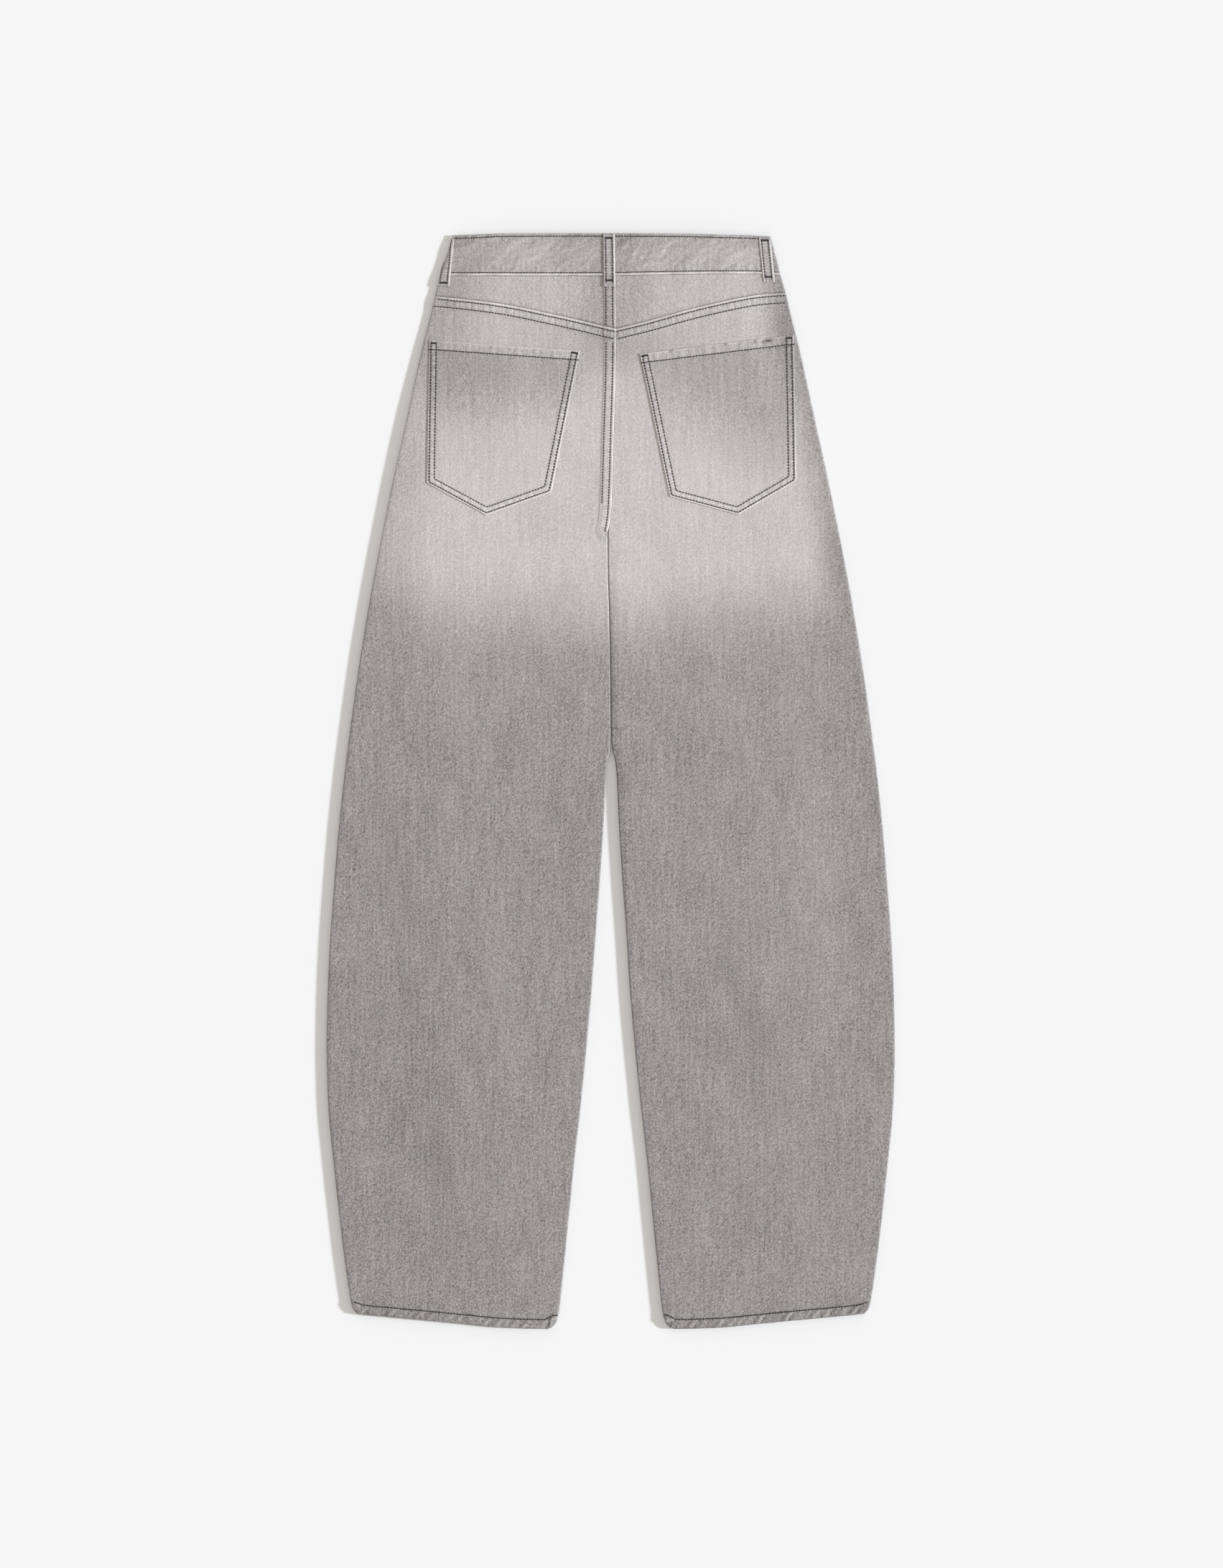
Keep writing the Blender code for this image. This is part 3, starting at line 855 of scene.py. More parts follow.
@dataclass
class DetailedCloth(Cloth):
    """A piece whose outer skin carries seams, puckers and creases."""

    details: list[Any] = field(default_factory=list)

    def added(self, places: Array) -> Effect:
        """What all the details add at places (..., 2)."""
        effects = [detail.effect(places) for detail in self.details]
        return Effect(sum(effect.height for effect in effects), sum(effect.tone for effect in effects))

    def surface(self, places: Array) -> Effect:
        """Height and tone of the outer skin at places (..., 2)."""
        raise NotImplementedError

    def height(self, places: Array) -> Array:
        """Height of the outer skin at places (..., 2)."""
        return self.surface(places).height


def stretch(edges: tuple[Callable, ...], u: Array, v: Array) -> Array:
    """Panel between its four edges: the edges blended across, less the blend of the corners.

    Args:
        edges: Outer and inner edge as functions of v, top and bottom edge as functions of u.
        u: Share of the way from the outer edge to the inner edge.
        v: Share of the way from the top to the bottom.

    Returns:
        Points (..., 2).
    """
    outer, inner, top, bottom = edges
    u1, v1 = u[..., None], v[..., None]
    sides = (1 - u1) * outer(v) + u1 * inner(v)
    ends = (1 - v1) * top(u) + v1 * bottom(u)
    head = (1 - u1) * outer(0.0) + u1 * inner(0.0)
    foot = (1 - u1) * outer(1.0) + u1 * inner(1.0)
    return sides + ends - (1 - v1) * head - v1 * foot


def graded(length: float, start: float, end: float, fine: float, coarse: float) -> Array:
    """Stations from 0 to a length, close together near both ends.

    Args:
        length: The whole length.
        start: Length of the fine stretch at the start.
        end: Length of the fine stretch at the end.
        fine: Step in the fine stretches.
        coarse: Step between them.

    Returns:
        The stations.
    """
    first = np.linspace(0.0, start, max(2, int(start / fine) + 1))
    last = np.linspace(length - end, length, max(2, int(end / fine) + 1))
    middle = np.linspace(start, length - end, int((length - start - end) / coarse) + 2)[1:-1]
    return np.concatenate([first, middle, last])


@dataclass
class Panel(DetailedCloth):
    """A leg panel or yoke whose edges roll over to the side seam and, below the crotch, the inseam."""

    side: Side = Side.LEFT
    face: Face = Face.UP
    is_yoke: bool = False
    outer_roll: float = 1.3
    inner_roll: float = 1.3
    fine: float = 0.9
    coarse: float = 3.2
    inner_band: float = 14.5

    def middle(self, down: Array) -> Array:
        """Line of the inner edge."""
        above = PATTERN.back_seam(down) if self.face is Face.UP else PATTERN.front_seam(down)
        line = np.where(down < CROTCH, above, PATTERN.back_seam(down))
        return line + self.side.value * (SEAM / 2 + PATTERN.gap(down))

    def head(self, x: Array) -> Array:
        """Distance down to the panel's top edge."""
        if self.is_yoke:
            return PATTERN.band_bottom(x) + SEAM
        if self.face is Face.UP:
            return PATTERN.yoke(self.side, x) + SEAM / 2
        return PATTERN.band_bottom(x) + PATTERN.dip(x) + SEAM / 2

    def foot(self, x: Array) -> Array:
        """Distance down to the panel's bottom edge."""
        return PATTERN.yoke(self.side, x) - SEAM / 2 if self.is_yoke else PATTERN.hem(np.abs(x))

    def edges(self) -> tuple[Callable, ...]:
        """Outer, inner, top and bottom edge as functions of a share."""
        sign = self.side.value
        foot_x = (sign * PATTERN.side(60.0), self.middle(np.array(94.4)))
        if not self.is_yoke:
            foot_x = (sign * PATTERN.hem_outer_x, sign * PATTERN.hem_inner_x)
        head_x = (sign * PATTERN.side(42.0 if self.is_yoke or self.face is Face.DOWN else 60.0),
                  self.middle(np.array(42.0)))
        head_down, foot_down = self.head(np.array(head_x)), self.foot(np.array(foot_x))

        def outer(v: Array) -> Array:
            down = along(head_down[0], foot_down[0], v)
            return pairs(sign * PATTERN.side(down), down)

        def inner(v: Array) -> Array:
            down = along(head_down[1], foot_down[1], v)
            return pairs(self.middle(down), down)

        def top(u: Array) -> Array:
            x = along(outer(0.0)[0], inner(0.0)[0], u)
            return pairs(x, self.head(x) + (1 - u) * (head_down[0] - self.head(outer(0.0)[0])))

        def bottom(u: Array) -> Array:
            x = along(outer(1.0)[0], inner(1.0)[0], u)
            return pairs(x, self.foot(x) + (1 - u) * (foot_down[0] - self.foot(outer(1.0)[0])))

        return outer, inner, top, bottom

    def surface(self, places: Array) -> Effect:
        """Height and tone of the open cloth at places (..., 2), without its rolled edges."""
        down = places[..., 1]
        base = LOFT.crown(down) if self.face is Face.UP else LOFT.lift(down) + LOFT.stitch_room
        added = self.added(places)
        return Effect(base + self.face.value * added.height, WASH_AND_SHADE.seat_tone(places) + added.tone)

    def columns(self, width: Array, outer: Array, inner: Array) -> Array:
        """Shares of the width for rows of points: fixed distances at both edges, even between."""
        band = np.arange(self.inner_roll + self.fine, self.inner_band, self.fine)
        rows = len(width)
        first = np.repeat(outer[None], rows, 0) / width
        last = np.concatenate([inner, np.repeat(band[None], rows, 0)], 1)[:, ::-1] / width
        count = int(float(width.max()) / self.coarse)
        share = np.linspace(0.0, 1.0, count + 2)[None, 1:-1]
        between = along(first[:, -1:], 1.0 - last[:, :1], share)
        return np.concatenate([first, between, 1.0 - last], 1)

    def build(self) -> bpy.types.Object:
        """Build the panel.

        Both skins share a grid. Near an edge, a point's distance from it is a quarter ellipse of the
        column's turn, and its height falls from the open cloth to the seam by the sine of that turn.
        """
        edges = self.edges()
        length = float(edges[1](1.0)[1] - edges[1](0.0)[1])
        foot = 3.0 if self.is_yoke else 13.0
        stations = graded(length, 3.0 if self.is_yoke else 17.0, foot, self.fine, self.coarse) / length
        turn = np.radians(np.linspace(0.0, 90.0, 7))
        v = stations[:, None]
        width = np.linalg.norm(edges[0](v[:, 0]) - edges[1](v[:, 0]), axis=-1)[:, None]
        open_edge = ease((edges[1](v[:, 0])[:, 1:] - CROTCH) / 14.0)
        skins = []
        tone = None
        for wall in (0.0, CLOTH):
            outer = wall + (self.outer_roll - wall) * (1 - np.cos(turn))
            open_out = self.inner_roll * (1 - np.cos(turn))
            open_in = wall + (self.inner_roll - wall) * (1 - np.cos(turn))
            u = self.columns(width, outer, along(open_out[None], open_in[None], open_edge))
            flat = stretch(edges, u, np.repeat(v, u.shape[1], 1))
            surface = self.surface(flat)
            level = np.ones(u.shape[1] - 2 * len(turn))
            fall_outer = 1 - np.concatenate([np.sin(turn), level, np.ones(len(turn))])[None]
            fall_inner = 1 - np.concatenate([np.ones(len(turn)), level, np.sin(turn)[::-1]])[None]
            fall = fall_outer + fall_inner * open_edge
            seam = LOFT.side_seam(flat[..., 1]) + self.face.value * SEAM / 2
            height = surface.height - self.face.value * wall
            skins.append(with_height(flat, along(height, seam, fall)))
            tone = surface.tone if tone is None else tone
        return self.wall(skins[0], skins[1], tone)


@dataclass
class Pocket(DetailedCloth):
    """A pointed patch pocket, at an even height over the leg under it."""

    corners: tuple[tuple[float, float], ...] = ()
    wall_height: float = 0.8
    gap: float = 0.15
    edge_band: float = 4.0
    fine: float = 0.45
    coarse: float = 1.15

    def outline(self) -> Route:
        """Closed outline with the pocket on its offset side."""
        points = np.array(self.corners + self.corners[:1], float)
        turn = np.sum(points[:-1, 0] * points[1:, 1] - points[1:, 0] * points[:-1, 1])
        return Route(points).flipped(turn <= 0)

    def surface(self, places: Array) -> Effect:
        """Height and tone of the pocket's outer side at places (..., 2)."""
        added = self.added(places)
        height = LOFT.crown(places[..., 1]) + self.gap + self.wall_height + added.height
        return Effect(height, WASH_AND_SHADE.pocket_tone(places) + added.tone)

    def build(self) -> bpy.types.Object:
        """Build the pocket on a grid between its five corners."""
        outer_head, inner_head, inner_foot, tip, outer_foot = (
            np.array(corner, float) for corner in self.corners)

        def outer(v: Array) -> Array:
            return along(outer_head, outer_foot, np.asarray(v)[..., None])

        def inner(v: Array) -> Array:
            return along(inner_head, inner_foot, np.asarray(v)[..., None])

        def top(u: Array) -> Array:
            return along(outer_head, inner_head, np.asarray(u)[..., None])

        def bottom(u: Array) -> Array:
            share = np.asarray(u)[..., None]
            first = along(outer_foot, tip, np.clip(2 * share, 0.0, 1.0))
            return np.where(share < 0.5, first, along(tip, inner_foot, np.clip(2 * share - 1, 0.0, 1.0)))

        width = float(np.linalg.norm(outer_head - inner_head))
        height = float(np.linalg.norm(inner_head - inner_foot))
        u, v = (graded(size, self.edge_band, self.edge_band, self.fine, self.coarse) / size
                for size in (width, height))
        flat = stretch((outer, inner, top, bottom), *np.meshgrid(u, v))
        surface = self.surface(flat)
        base = LOFT.crown(flat[..., 1]) + self.gap * 0.5
        return self.wall(with_height(flat, surface.height), with_height(flat, base), surface.tone)


@dataclass
class Waistband(DetailedCloth):
    """The waistband: a flattened ring whose ends lap at the centre front."""

    wall_height: float = 1.5
    lap: float = 18.0
    lap_ramp: float = 20.0

    def surface(self, places: Array) -> Effect:
        """Height and tone of the back of the band at places (..., 2)."""
        added = self.added(places)
        return Effect(LOFT.band + added.height, WASH_AND_SHADE.band_tone(places) + added.tone)

    def build(self) -> bpy.types.Object:
        """Build the ring: a stadium in section, carried from the top edge to the bottom edge.

        A station is a share of the way between the two turns, and a direction out of the cloth. The
        end that lies inside is moved up by one layer past the lap.
        """
        radius = 0.5 * (LOFT.band - LOFT.under)
        centre = 0.5 * (LOFT.band + LOFT.under)
        turn = np.radians(np.linspace(-90.0, 90.0, 15))
        lap = self.lap / (PATTERN.band_right[0] - PATTERN.band_left[0])
        runs = [
            (np.linspace(0.5 + lap, 0.0, 110)[:-1], 0.0, -1.0),
            (np.zeros(15), -np.cos(turn), np.sin(turn)),
            (np.linspace(0.0, 1.0, 260)[1:-1], 0.0, 1.0),
            (np.ones(15), np.cos(turn), -np.sin(turn)),
            (np.linspace(1.0, 0.5 - lap, 110)[1:], 0.0, -1.0),
        ]
        share = np.concatenate([run[0] for run in runs])[None]
        out_x = np.concatenate([np.broadcast_to(run[1], run[0].shape) for run in runs])[None]
        out_z = np.concatenate([np.broadcast_to(run[2], run[0].shape) for run in runs])[None]
        inside = np.concatenate([np.full(run[0].shape, float(i == 4)) for i, run in enumerate(runs)])
        across = graded(1.0, 0.1, 0.1, 0.014, 0.028)[:, None]
        left = along(*PATTERN.band_left, across)
        right = along(*PATTERN.band_right, across)
        is_front = np.clip(-out_z, 0.0, 1.0) ** 2
        skins, tone = [], None
        for depth in (0.0, self.wall_height):
            x = along(left + radius, right - radius, share) + (radius - depth) * out_x
            down = along(PATTERN.band_top(x), PATTERN.band_bottom(x), across)
            surface = self.surface(pairs(x, down))
            relief = (surface.height - LOFT.band) * np.clip(out_z, 0.35, 1.0)
            down = down + PATTERN.dip(x) * is_front
            under = fade(x, self.lap + 2.0, self.lap_ramp)
            z = centre + (radius - depth) * out_z + inside[None] * under * (self.wall_height + SEAM)
            skins.append(np.stack([x + relief * out_x, down, z + relief * out_z], -1))
            tone = surface.tone if tone is None else tone
        return self.wall(skins[0], skins[1], tone)


@dataclass
class BeltLoop(Cloth):
    """A folded strip sewn over the band, standing off it in the middle."""

    head: tuple[float, float] = (0.0, 0.0)
    foot: tuple[float, float] = (0.0, 0.0)
    head_height: float = 7.8
    foot_height: float = 7.2
    arch: float = 0.3
    face: Face = Face.UP
    width: float = 11.6
    wall_height: float = 1.1
    seed: int = 1

    def level(self, share: Array) -> Array:
        """Height of the strip's underside at a share of its length."""
        height = along(self.head_height, self.foot_height, ease((share - 0.83) / 0.12))
        return height + self.arch * ease(share / 0.16) * fade(share, 0.6, 0.2)

    def profile(self, across: Array, share: Array, length: float) -> Effect:
        """Relief and tone over the strip: pale folded edges, a sunk middle and two stitched lines."""
        edge = 0.5 * self.width - np.abs(across)
        height = -0.45 * (1 - np.sqrt(np.clip(edge / 0.9, 0.0, 1.0)))
        height = height - 0.18 * ease((edge - 2.6) / 1.2) - 0.12 * hump(edge - 2.5, 0.5)
        height = height - 0.06 * (1 + ripple(share * length + 3 * across, 5.0, self.seed))
        ends = np.minimum(share, 1 - share) * length
        tone = 176.0 + 34.0 * hump(edge - 0.9, 1.0) - 12.0 * hump(edge - 2.7, 0.8)
        tone = tone - 10.0 * hump(ends, 5.0) + 7.0 * ripple(share * length, 7.0, self.seed + 3)
        return Effect(height, tone)

    def place(self, across: Array, share: Array) -> Array:
        """Points (x, down) on the strip."""
        x = along(self.head[0], self.foot[0], share) + across
        return pairs(x, along(self.head[1], self.foot[1], share))

    def top(self, places: Array) -> Array:
        """Height of the strip's upper side at places (..., 2)."""
        share = (places[..., 1] - self.head[1]) / (self.foot[1] - self.head[1])
        return self.level(np.clip(share, 0.0, 1.0)) + self.wall_height

    def build(self) -> bpy.types.Object:
        """Build the strip."""
        length = abs(self.foot[1] - self.head[1])
        across, share = np.meshgrid(np.linspace(-0.5, 0.5, 25) * self.width, np.linspace(0, 1, 60))
        flat = self.place(across, share)
        relief = self.profile(across, share, length)
        under = self.level(share)
        if self.face is Face.UP:
            outer, inner = under + self.wall_height + relief.height, under
        else:
            outer, inner = under - relief.height, under + self.wall_height
        return self.wall(with_height(flat, outer), with_height(flat, inner), relief.tone)


@dataclass
class WrappedLoop(BeltLoop):
    """The left loop, which crosses the rolled edge of the band from front to back."""

    arc_head: float = -9.6
    arc_foot: float = 2.0

    def bend(self, across: Any, share: Any, out: Any) -> Array:
        """Points of a skin.

        The distance round the edge is an angle on the roll up to a quarter turn either way, and a
        straight run beyond it.

        Args:
            across: Distance from the middle of the strip.
            share: Share of the strip's length.
            out: Distance of the skin from the band.

        Returns:
            Points (..., 3) as x, down and height.
        """
        radius = 0.5 * (LOFT.band - LOFT.under)
        down = along(self.head[1], self.foot[1], share)
        slant = (PATTERN.band_left[1] - PATTERN.band_left[0]) / 39.9
        edge = PATTERN.band_left[0] + slant * (down - self.head[1])
        arc = along(self.arc_head, self.arc_foot, share) + across + 0.5 * self.width
        angle = np.clip(arc / radius, -np.pi / 2, np.pi / 2)
        beyond = np.clip(np.abs(arc) - radius * np.pi / 2, 0.0, None)
        x = edge + radius - (radius + out) * np.cos(angle) + beyond
        z = 0.5 * (LOFT.band + LOFT.under) + (radius + out) * np.sin(angle)
        return np.stack(np.broadcast_arrays(x, down, z), -1)

    def build(self) -> bpy.types.Object:
        """Build the bent strip."""
        across, share = np.meshgrid(np.linspace(-0.5, 0.5, 29) * self.width, np.linspace(0, 1, 60))
        relief = self.profile(across, share, 50.0)
        outer = self.bend(across, share, SEAM + self.wall_height + relief.height)
        return self.wall(outer, self.bend(across, share, SEAM), relief.tone)


@dataclass
class Stitching:
    """Rows of stitches and bar tacks that share one thread, gathered into one mesh."""

    name: str
    finish: bpy.types.Material
    around: int = 6
    stations: int = 5
    ends: list[Array] = field(default_factory=list)
    radii: list[Array] = field(default_factory=list)

    def row(self, route: Route, height: Height, pitch: float = 2.9, width: float = 0.8,
            face: Face = Face.UP, margin: float = 0.0) -> None:
        """Add a row of stitches along a route.

        Args:
            route: Where the row runs.
            height: Height of the cloth at places.
            pitch: Length of one stitch with its gap.
            width: Width of the thread.
            face: Side of the cloth on which it lies.
            margin: Length left free at both ends.
        """
        total = route.steps()[-1] - 2 * margin
        count = max(1, int(round(total / pitch)))
        start = margin + np.arange(count) * total / count
        jitter = np.random.default_rng(count).uniform(-0.05, 0.05, count) * pitch
        first = route.at(start + 0.07 * pitch + jitter)
        last = route.at(start + 0.95 * pitch + jitter)
        kept = PATTERN.covers(first) & PATTERN.covers(last)
        self.add(first[kept], last[kept], height, width, face)

    def tack(self, start: tuple[float, float], end: tuple[float, float], height: Height,
             across: float = 2.0, width: float = 0.75, face: Face = Face.UP) -> None:
        """Add a bar tack: short stitches side by side across the line from start to end."""
        route = Route.through(start, end)
        total = route.steps()[-1]
        count = max(3, int(total / (width * 0.8)))
        middle = route.at(np.linspace(0.0, total, count))
        way = np.array(end, float) - np.array(start, float)
        normal = np.array([-way[1], way[0]]) / total
        tilt = np.where(np.arange(count) % 2 == 0, 0.25, -0.25)[:, None] * way / total
        self.add(middle - normal * across / 2 - tilt, middle + normal * across / 2 + tilt,
                 height, width, face)

    def add(self, first: Array, last: Array, height: Height, width: float, face: Face) -> None:
        """Add stitches between pairs of places on the cloth."""
        lift = face.value * width * 0.18
        self.lay(with_height(first, height(first) + lift), with_height(last, height(last) + lift),
                 face.value * width / 2)

    def lay(self, start: Array, end: Array, radius: float) -> None:
        """Add stitches between pairs of points (n, 3), arched downwards if the radius is negative."""
        self.ends.append(np.stack([start, end], 1))
        self.radii.append(np.full(len(start), radius))

    def build(self) -> bpy.types.Object:
        """Build every stitch as a small capsule.

        A stitch is a tube round the line between its ends: its radius is full in the middle and
        falls off at the ends, and it arches a little over the cloth.
        """
        ends, radii = np.concatenate(self.ends), np.concatenate(self.radii)
        t = np.linspace(0.0, 1.0, self.stations)
        turn = np.linspace(0.0, 2 * np.pi, self.around, endpoint=False)
        centre = along(ends[:, None, 0], ends[:, None, 1], t[None, :, None])
        swell = np.sqrt(np.clip(1 - np.abs(2 * t - 1) ** 3, 0.12, 1.0))
        arch = (4 * t * (1 - t) - 0.55) * 0.34
        way = ends[:, 1, :2] - ends[:, 0, :2]
        way = way / np.linalg.norm(way, axis=1, keepdims=True)
        normal = np.stack([-way[:, 1], way[:, 0], np.zeros(len(way))], -1)
        size = np.abs(radii)[:, None] * swell[None]
        centre[..., 2] += radii[:, None] * arch[None] * 2
        points = centre[:, :, None] + normal[:, None, None] * (size[..., None] * np.cos(turn))[..., None]
        points[..., 2] += size[..., None] * 0.8 * np.sin(turn)
        count, ring = len(ends), self.around
        index = np.arange(count * self.stations * ring).reshape(count, self.stations, ring)
        nxt = np.roll(index, -1, axis=2)
        tube = np.stack([index[:, :-1], nxt[:, :-1], nxt[:, 1:], index[:, 1:]], -1).reshape(-1, 4)
        half = ring // 2
        caps = []
        for end in (index[:, 0], index[:, -1]):
            for i in range(half - 1):
                caps.append(np.stack([end[:, i], end[:, i + 1], end[:, ring - i - 2],
                                      end[:, (ring - i - 1) % ring]], -1))
        faces = np.concatenate([tube, *caps])
        piece = add_mesh(self.name, PLACE.metres(points.reshape(-1, 3)), faces, self.finish)
        face_outwards(piece)
        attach(piece, "root")
        LOG.info("%s: %d stitches, %d faces", self.name, count, len(faces))
        return piece


@dataclass
class Studio:
    """Pale floor, low light from the right and the camera straight above."""

    lens: float = 200.0
    sensor: float = 36.0
    look_x: float = 0.7
    look_down: float = 544.7
    sun_height: float = 24.0
    sun_spread: float = 5.5
    floor_albedo: float = 0.85
    glow: float = 0.09
    ambient: tuple[float, float, float] = (0.576, 0.559, 0.527)
    lit: float = 0.924
    floor_reach: float = 9.0
    floor_drop: float = 2e-4

    def build(self) -> None:
        """Build floor, lights and camera."""
        self.floor()
        self.lights()
        self.camera()

    def floor(self) -> None:
        """Flat pale floor just under the cloth."""
        corners = np.array([(-1, -1), (1, -1), (1, 1), (-1, 1)]) * self.floor_reach
        points = with_height(corners, np.full(4, -self.floor_drop))
        nodes = Nodes("pale_floor")
        grey = (self.floor_albedo,) * 3 + (1.0,)
        material = nodes.finish({
            "Base Color": grey, "Roughness": 1.0, "Specular IOR Level": 0.0,
            "Emission Color": (1.0, 1.0, 1.0, 1.0), "Emission Strength": self.glow})
        add_mesh("floor", points, np.array([[0, 1, 2, 3]]), material)

    def lights(self) -> None:
        """A sky that gives the shade its tone, and a sun that adds the rest up to the lit floor."""
        world = bpy.data.worlds.new("soft_sky")
        bpy.context.scene.world = world
        world.use_nodes = True
        sky = world.node_tree.nodes["Background"]
        shade = tuple((value - self.glow) / self.floor_albedo for value in self.ambient)
        sky.inputs["Color"].default_value = shade + (1.0,)
        sky.inputs["Strength"].default_value = 1.0
        rest = [(self.lit - value) / self.floor_albedo for value in self.ambient]
        strength = np.pi * max(rest) / np.sin(np.radians(self.sun_height))
        sun = bpy.data.lights.new("low_sun", "SUN")
        sun.energy = float(strength)
        sun.color = [value / max(rest) for value in rest]
        sun.angle = np.radians(self.sun_spread)
        lamp = bpy.data.objects.new("low_sun", sun)
        lamp.rotation_euler = (0.0, np.radians(90.0 - self.sun_height), 0.0)
        bpy.context.scene.collection.objects.link(lamp)
        bpy.context.scene.view_settings.view_transform = "Standard"

    def camera(self) -> None:
        """Long lens over the middle of the picture, which is as tall as the picture's real height."""
        data = bpy.data.cameras.new("above")
        data.lens, data.sensor_width = self.lens, self.sensor
        distance = PICTURE_LONG_SIDE / 1000 * self.lens / self.sensor
        data.clip_end = 4 * distance
        camera = bpy.data.objects.new("above", data)
        camera.location = (PLACE.shift_x + self.look_x / 1000,
                           PLACE.shift_y - self.look_down / 1000, distance + LOFT.leg / 1000)
        bpy.context.scene.collection.objects.link(camera)
        bpy.context.scene.camera = camera


@dataclass
class Trousers:
    """The whole garment."""

    denim: bpy.types.Material
    thread: bpy.types.Material
    heavy: Stitching = field(init=False)
    hidden: Stitching = field(init=False)

    def __post_init__(self) -> None:
        """Start the stitches of the upper side and of the side that lies on the floor."""
        self.heavy = Stitching("topstitching", self.thread)
        self.hidden = Stitching("front_stitching", self.thread)

    def seams(self) -> dict[str, SeamBand]:
        """Sewn edges that several pieces share, by name."""
        # The seat and yoke seams paint shade on the cloth just outside their folds.
        found = {"seat": SeamBand(
            PATTERN.seat_route(), SEAT_ROWS, 12.0, raised=0.7, outside_painted_shade=12.0,
            pucker_height=0.10, pucker_tone=8.0, pitch=7.0, pale=38.0, seed=4)}
        for side in Side:
            name, hem = side.name.lower(), PATTERN.hem_route(side)
            found["yoke_" + name] = SeamBand(
                PATTERN.yoke_route(side), YOKE_ROWS, 12.5, raised=0.7, outside_painted_shade=24.0,
                pucker_tone=18.0, pale=40.0, seed=20 + side.value)
            found["hem_" + name] = SeamBand(
                hem, (HEM_ROW,), 10.4, raised=0.5, rounding=1.5, pucker=(1.0, 8.4),
                pucker_height=0.55, pucker_tone=22.0, pitch=9.5, slant=0.9, pale=-6.0,
                inside_tone=-2.0, seed=30 + side.value)
            found["under_hem_" + name] = SeamBand(
                hem, (HEM_ROW,), 10.4, rounding=0.5, pucker_height=0.12, pitch=9.5,
                seed=34 + side.value)
        return found

    def band_creases(self) -> list[Crease]:
        """Slanting wrinkles over the back of the waistband."""
        rows = [
            (-140, 16, 24, 34, 2.6, 0.32), (-118, 26, 30, 30, 2.2, -0.26), (-96, 12, 20, 44, 2.8, 0.3),
            (-74, 22, 26, 40, 2.2, 0.34), (-52, 30, 32, 30, 2.4, -0.3), (-38, 14, 22, 42, 2.4, 0.32),
            (-20, 24, 40, 26, 2.2, 0.28), (22, 22, 52, 34, 2.0, 0.42), (34, 24, 48, 38, 1.7, -0.36),
            (14, 12, 50, 24, 2.2, 0.3), (52, 16, 40, 34, 2.4, 0.3), (72, 26, 30, 36, 2.4, -0.26),
            (92, 14, 26, 40, 2.4, 0.28), (120, 22, 16, 40, 2.8, 0.26), (138, 12, 10, 30, 2.4, -0.24),
        ]
        return [Crease(*row[:5], height=1.5 * row[5], tone=36.0 * row[5]) for row in rows]

    def leg_creases(self) -> list[Crease]:
        """Faint swells of the seat and the legs, with painted light on the swells and painted shade in the
        hollows.
        """
        rows = [
            (-30, 318, 52, 90, 7, 0.35), (-52, 352, 38, 120, 9, -0.3), (34, 322, 122, 96, 7, 0.3),
            (60, 370, 110, 130, 10, -0.28), (-150, 470, 80, 240, 16, 0.35), (-210, 640, 96, 300, 20, -0.4),
            (-110, 760, 84, 330, 18, 0.4), (-170, 930, 92, 220, 16, -0.35), (120, 480, 100, 260, 16, 0.35),
            (205, 620, 88, 300, 20, 0.35), (140, 800, 95, 320, 18, -0.4), (190, 960, 86, 200, 15, 0.35),
            (-128, 520, 66, 130, 4, 0.2), (-98, 610, 72, 170, 5, 0.2), (-160, 700, 78, 150, 4, 0.16),
            (95, 590, 104, 160, 5, 0.2), (70, 700, 98, 190, 4, 0.2), (165, 560, 84, 140, 5, -0.2),
        ]
        # Painted light and shade: each swell's tone rises and falls with its height.
        return [Crease(*row, tone=14.0 * row[5]) for row in rows]

    def build(self) -> None:
        """Build all the pieces and their stitches."""
        seams = self.seams()
        creases = self.leg_creases()
        panels = {}
        for side in Side:
            name = side.name.lower()
            seat = [seams["seat"]] if side is Side.LEFT else []
            back = Panel("back_leg_" + name, self.denim, ("front_leg_" + name,), side=side,
                         details=[seams["yoke_" + name], seams["hem_" + name], *seat, *creases])
            back.build()
            yoke = Panel("yoke_" + name, self.denim, ("front_leg_" + name,), side=side, is_yoke=True,
                         coarse=1.8, details=[seams["yoke_" + name], *seat])
            yoke.build()
            front = Panel("front_leg_" + name, self.denim, ("floor",), side=side, face=Face.DOWN,
                          fine=2.0, coarse=6.0, details=[seams["under_hem_" + name]])
            front.build()
            panels[side] = (back, yoke, front)
            self.leg_stitches(side, back)
            self.front_stitches(side, front)
        self.seat_stitches(panels[Side.LEFT])
        self.pockets()
        self.waist()
        self.heavy.build()
        self.hidden.build()
        self.button()

    def leg_stitches(self, side: Side, back: Panel) -> None:
        """Two rows along the yoke seam and one along the hem."""
        route = PATTERN.yoke_route(side)
        for offset in YOKE_ROWS:
            self.heavy.row(route.offset(offset), back.height, pitch=3.0, width=1.1)
        self.heavy.row(PATTERN.hem_route(side).offset(HEM_ROW), back.height, pitch=3.0, width=1.15)

    def front_stitches(self, side: Side, front: Panel) -> None:
        """Hem row, seam rows and, on the left, the curved fly stitch of the front."""
        routes = [PATTERN.hem_route(side).offset(HEM_ROW)]
        if side is Side.LEFT:
            down = np.linspace(62.0, 290.0, 50)
            for offset in (3.0, 9.0):
                routes.append(Route(pairs(PATTERN.front_seam(down) - offset, down)))
            bend = np.linspace(0.0, np.pi / 2, 12)
            for reach in (36.0, 30.0):
                curve = pairs(-reach * np.cos(bend), 150.0 + reach * np.sin(bend))
                straight = pairs(-reach, np.linspace(60.0, 148.0, 20))
                routes.append(Route(np.concatenate([straight, curve])))
        for route in routes:
            self.hidden.row(route, front.height, face=Face.DOWN, width=0.7)

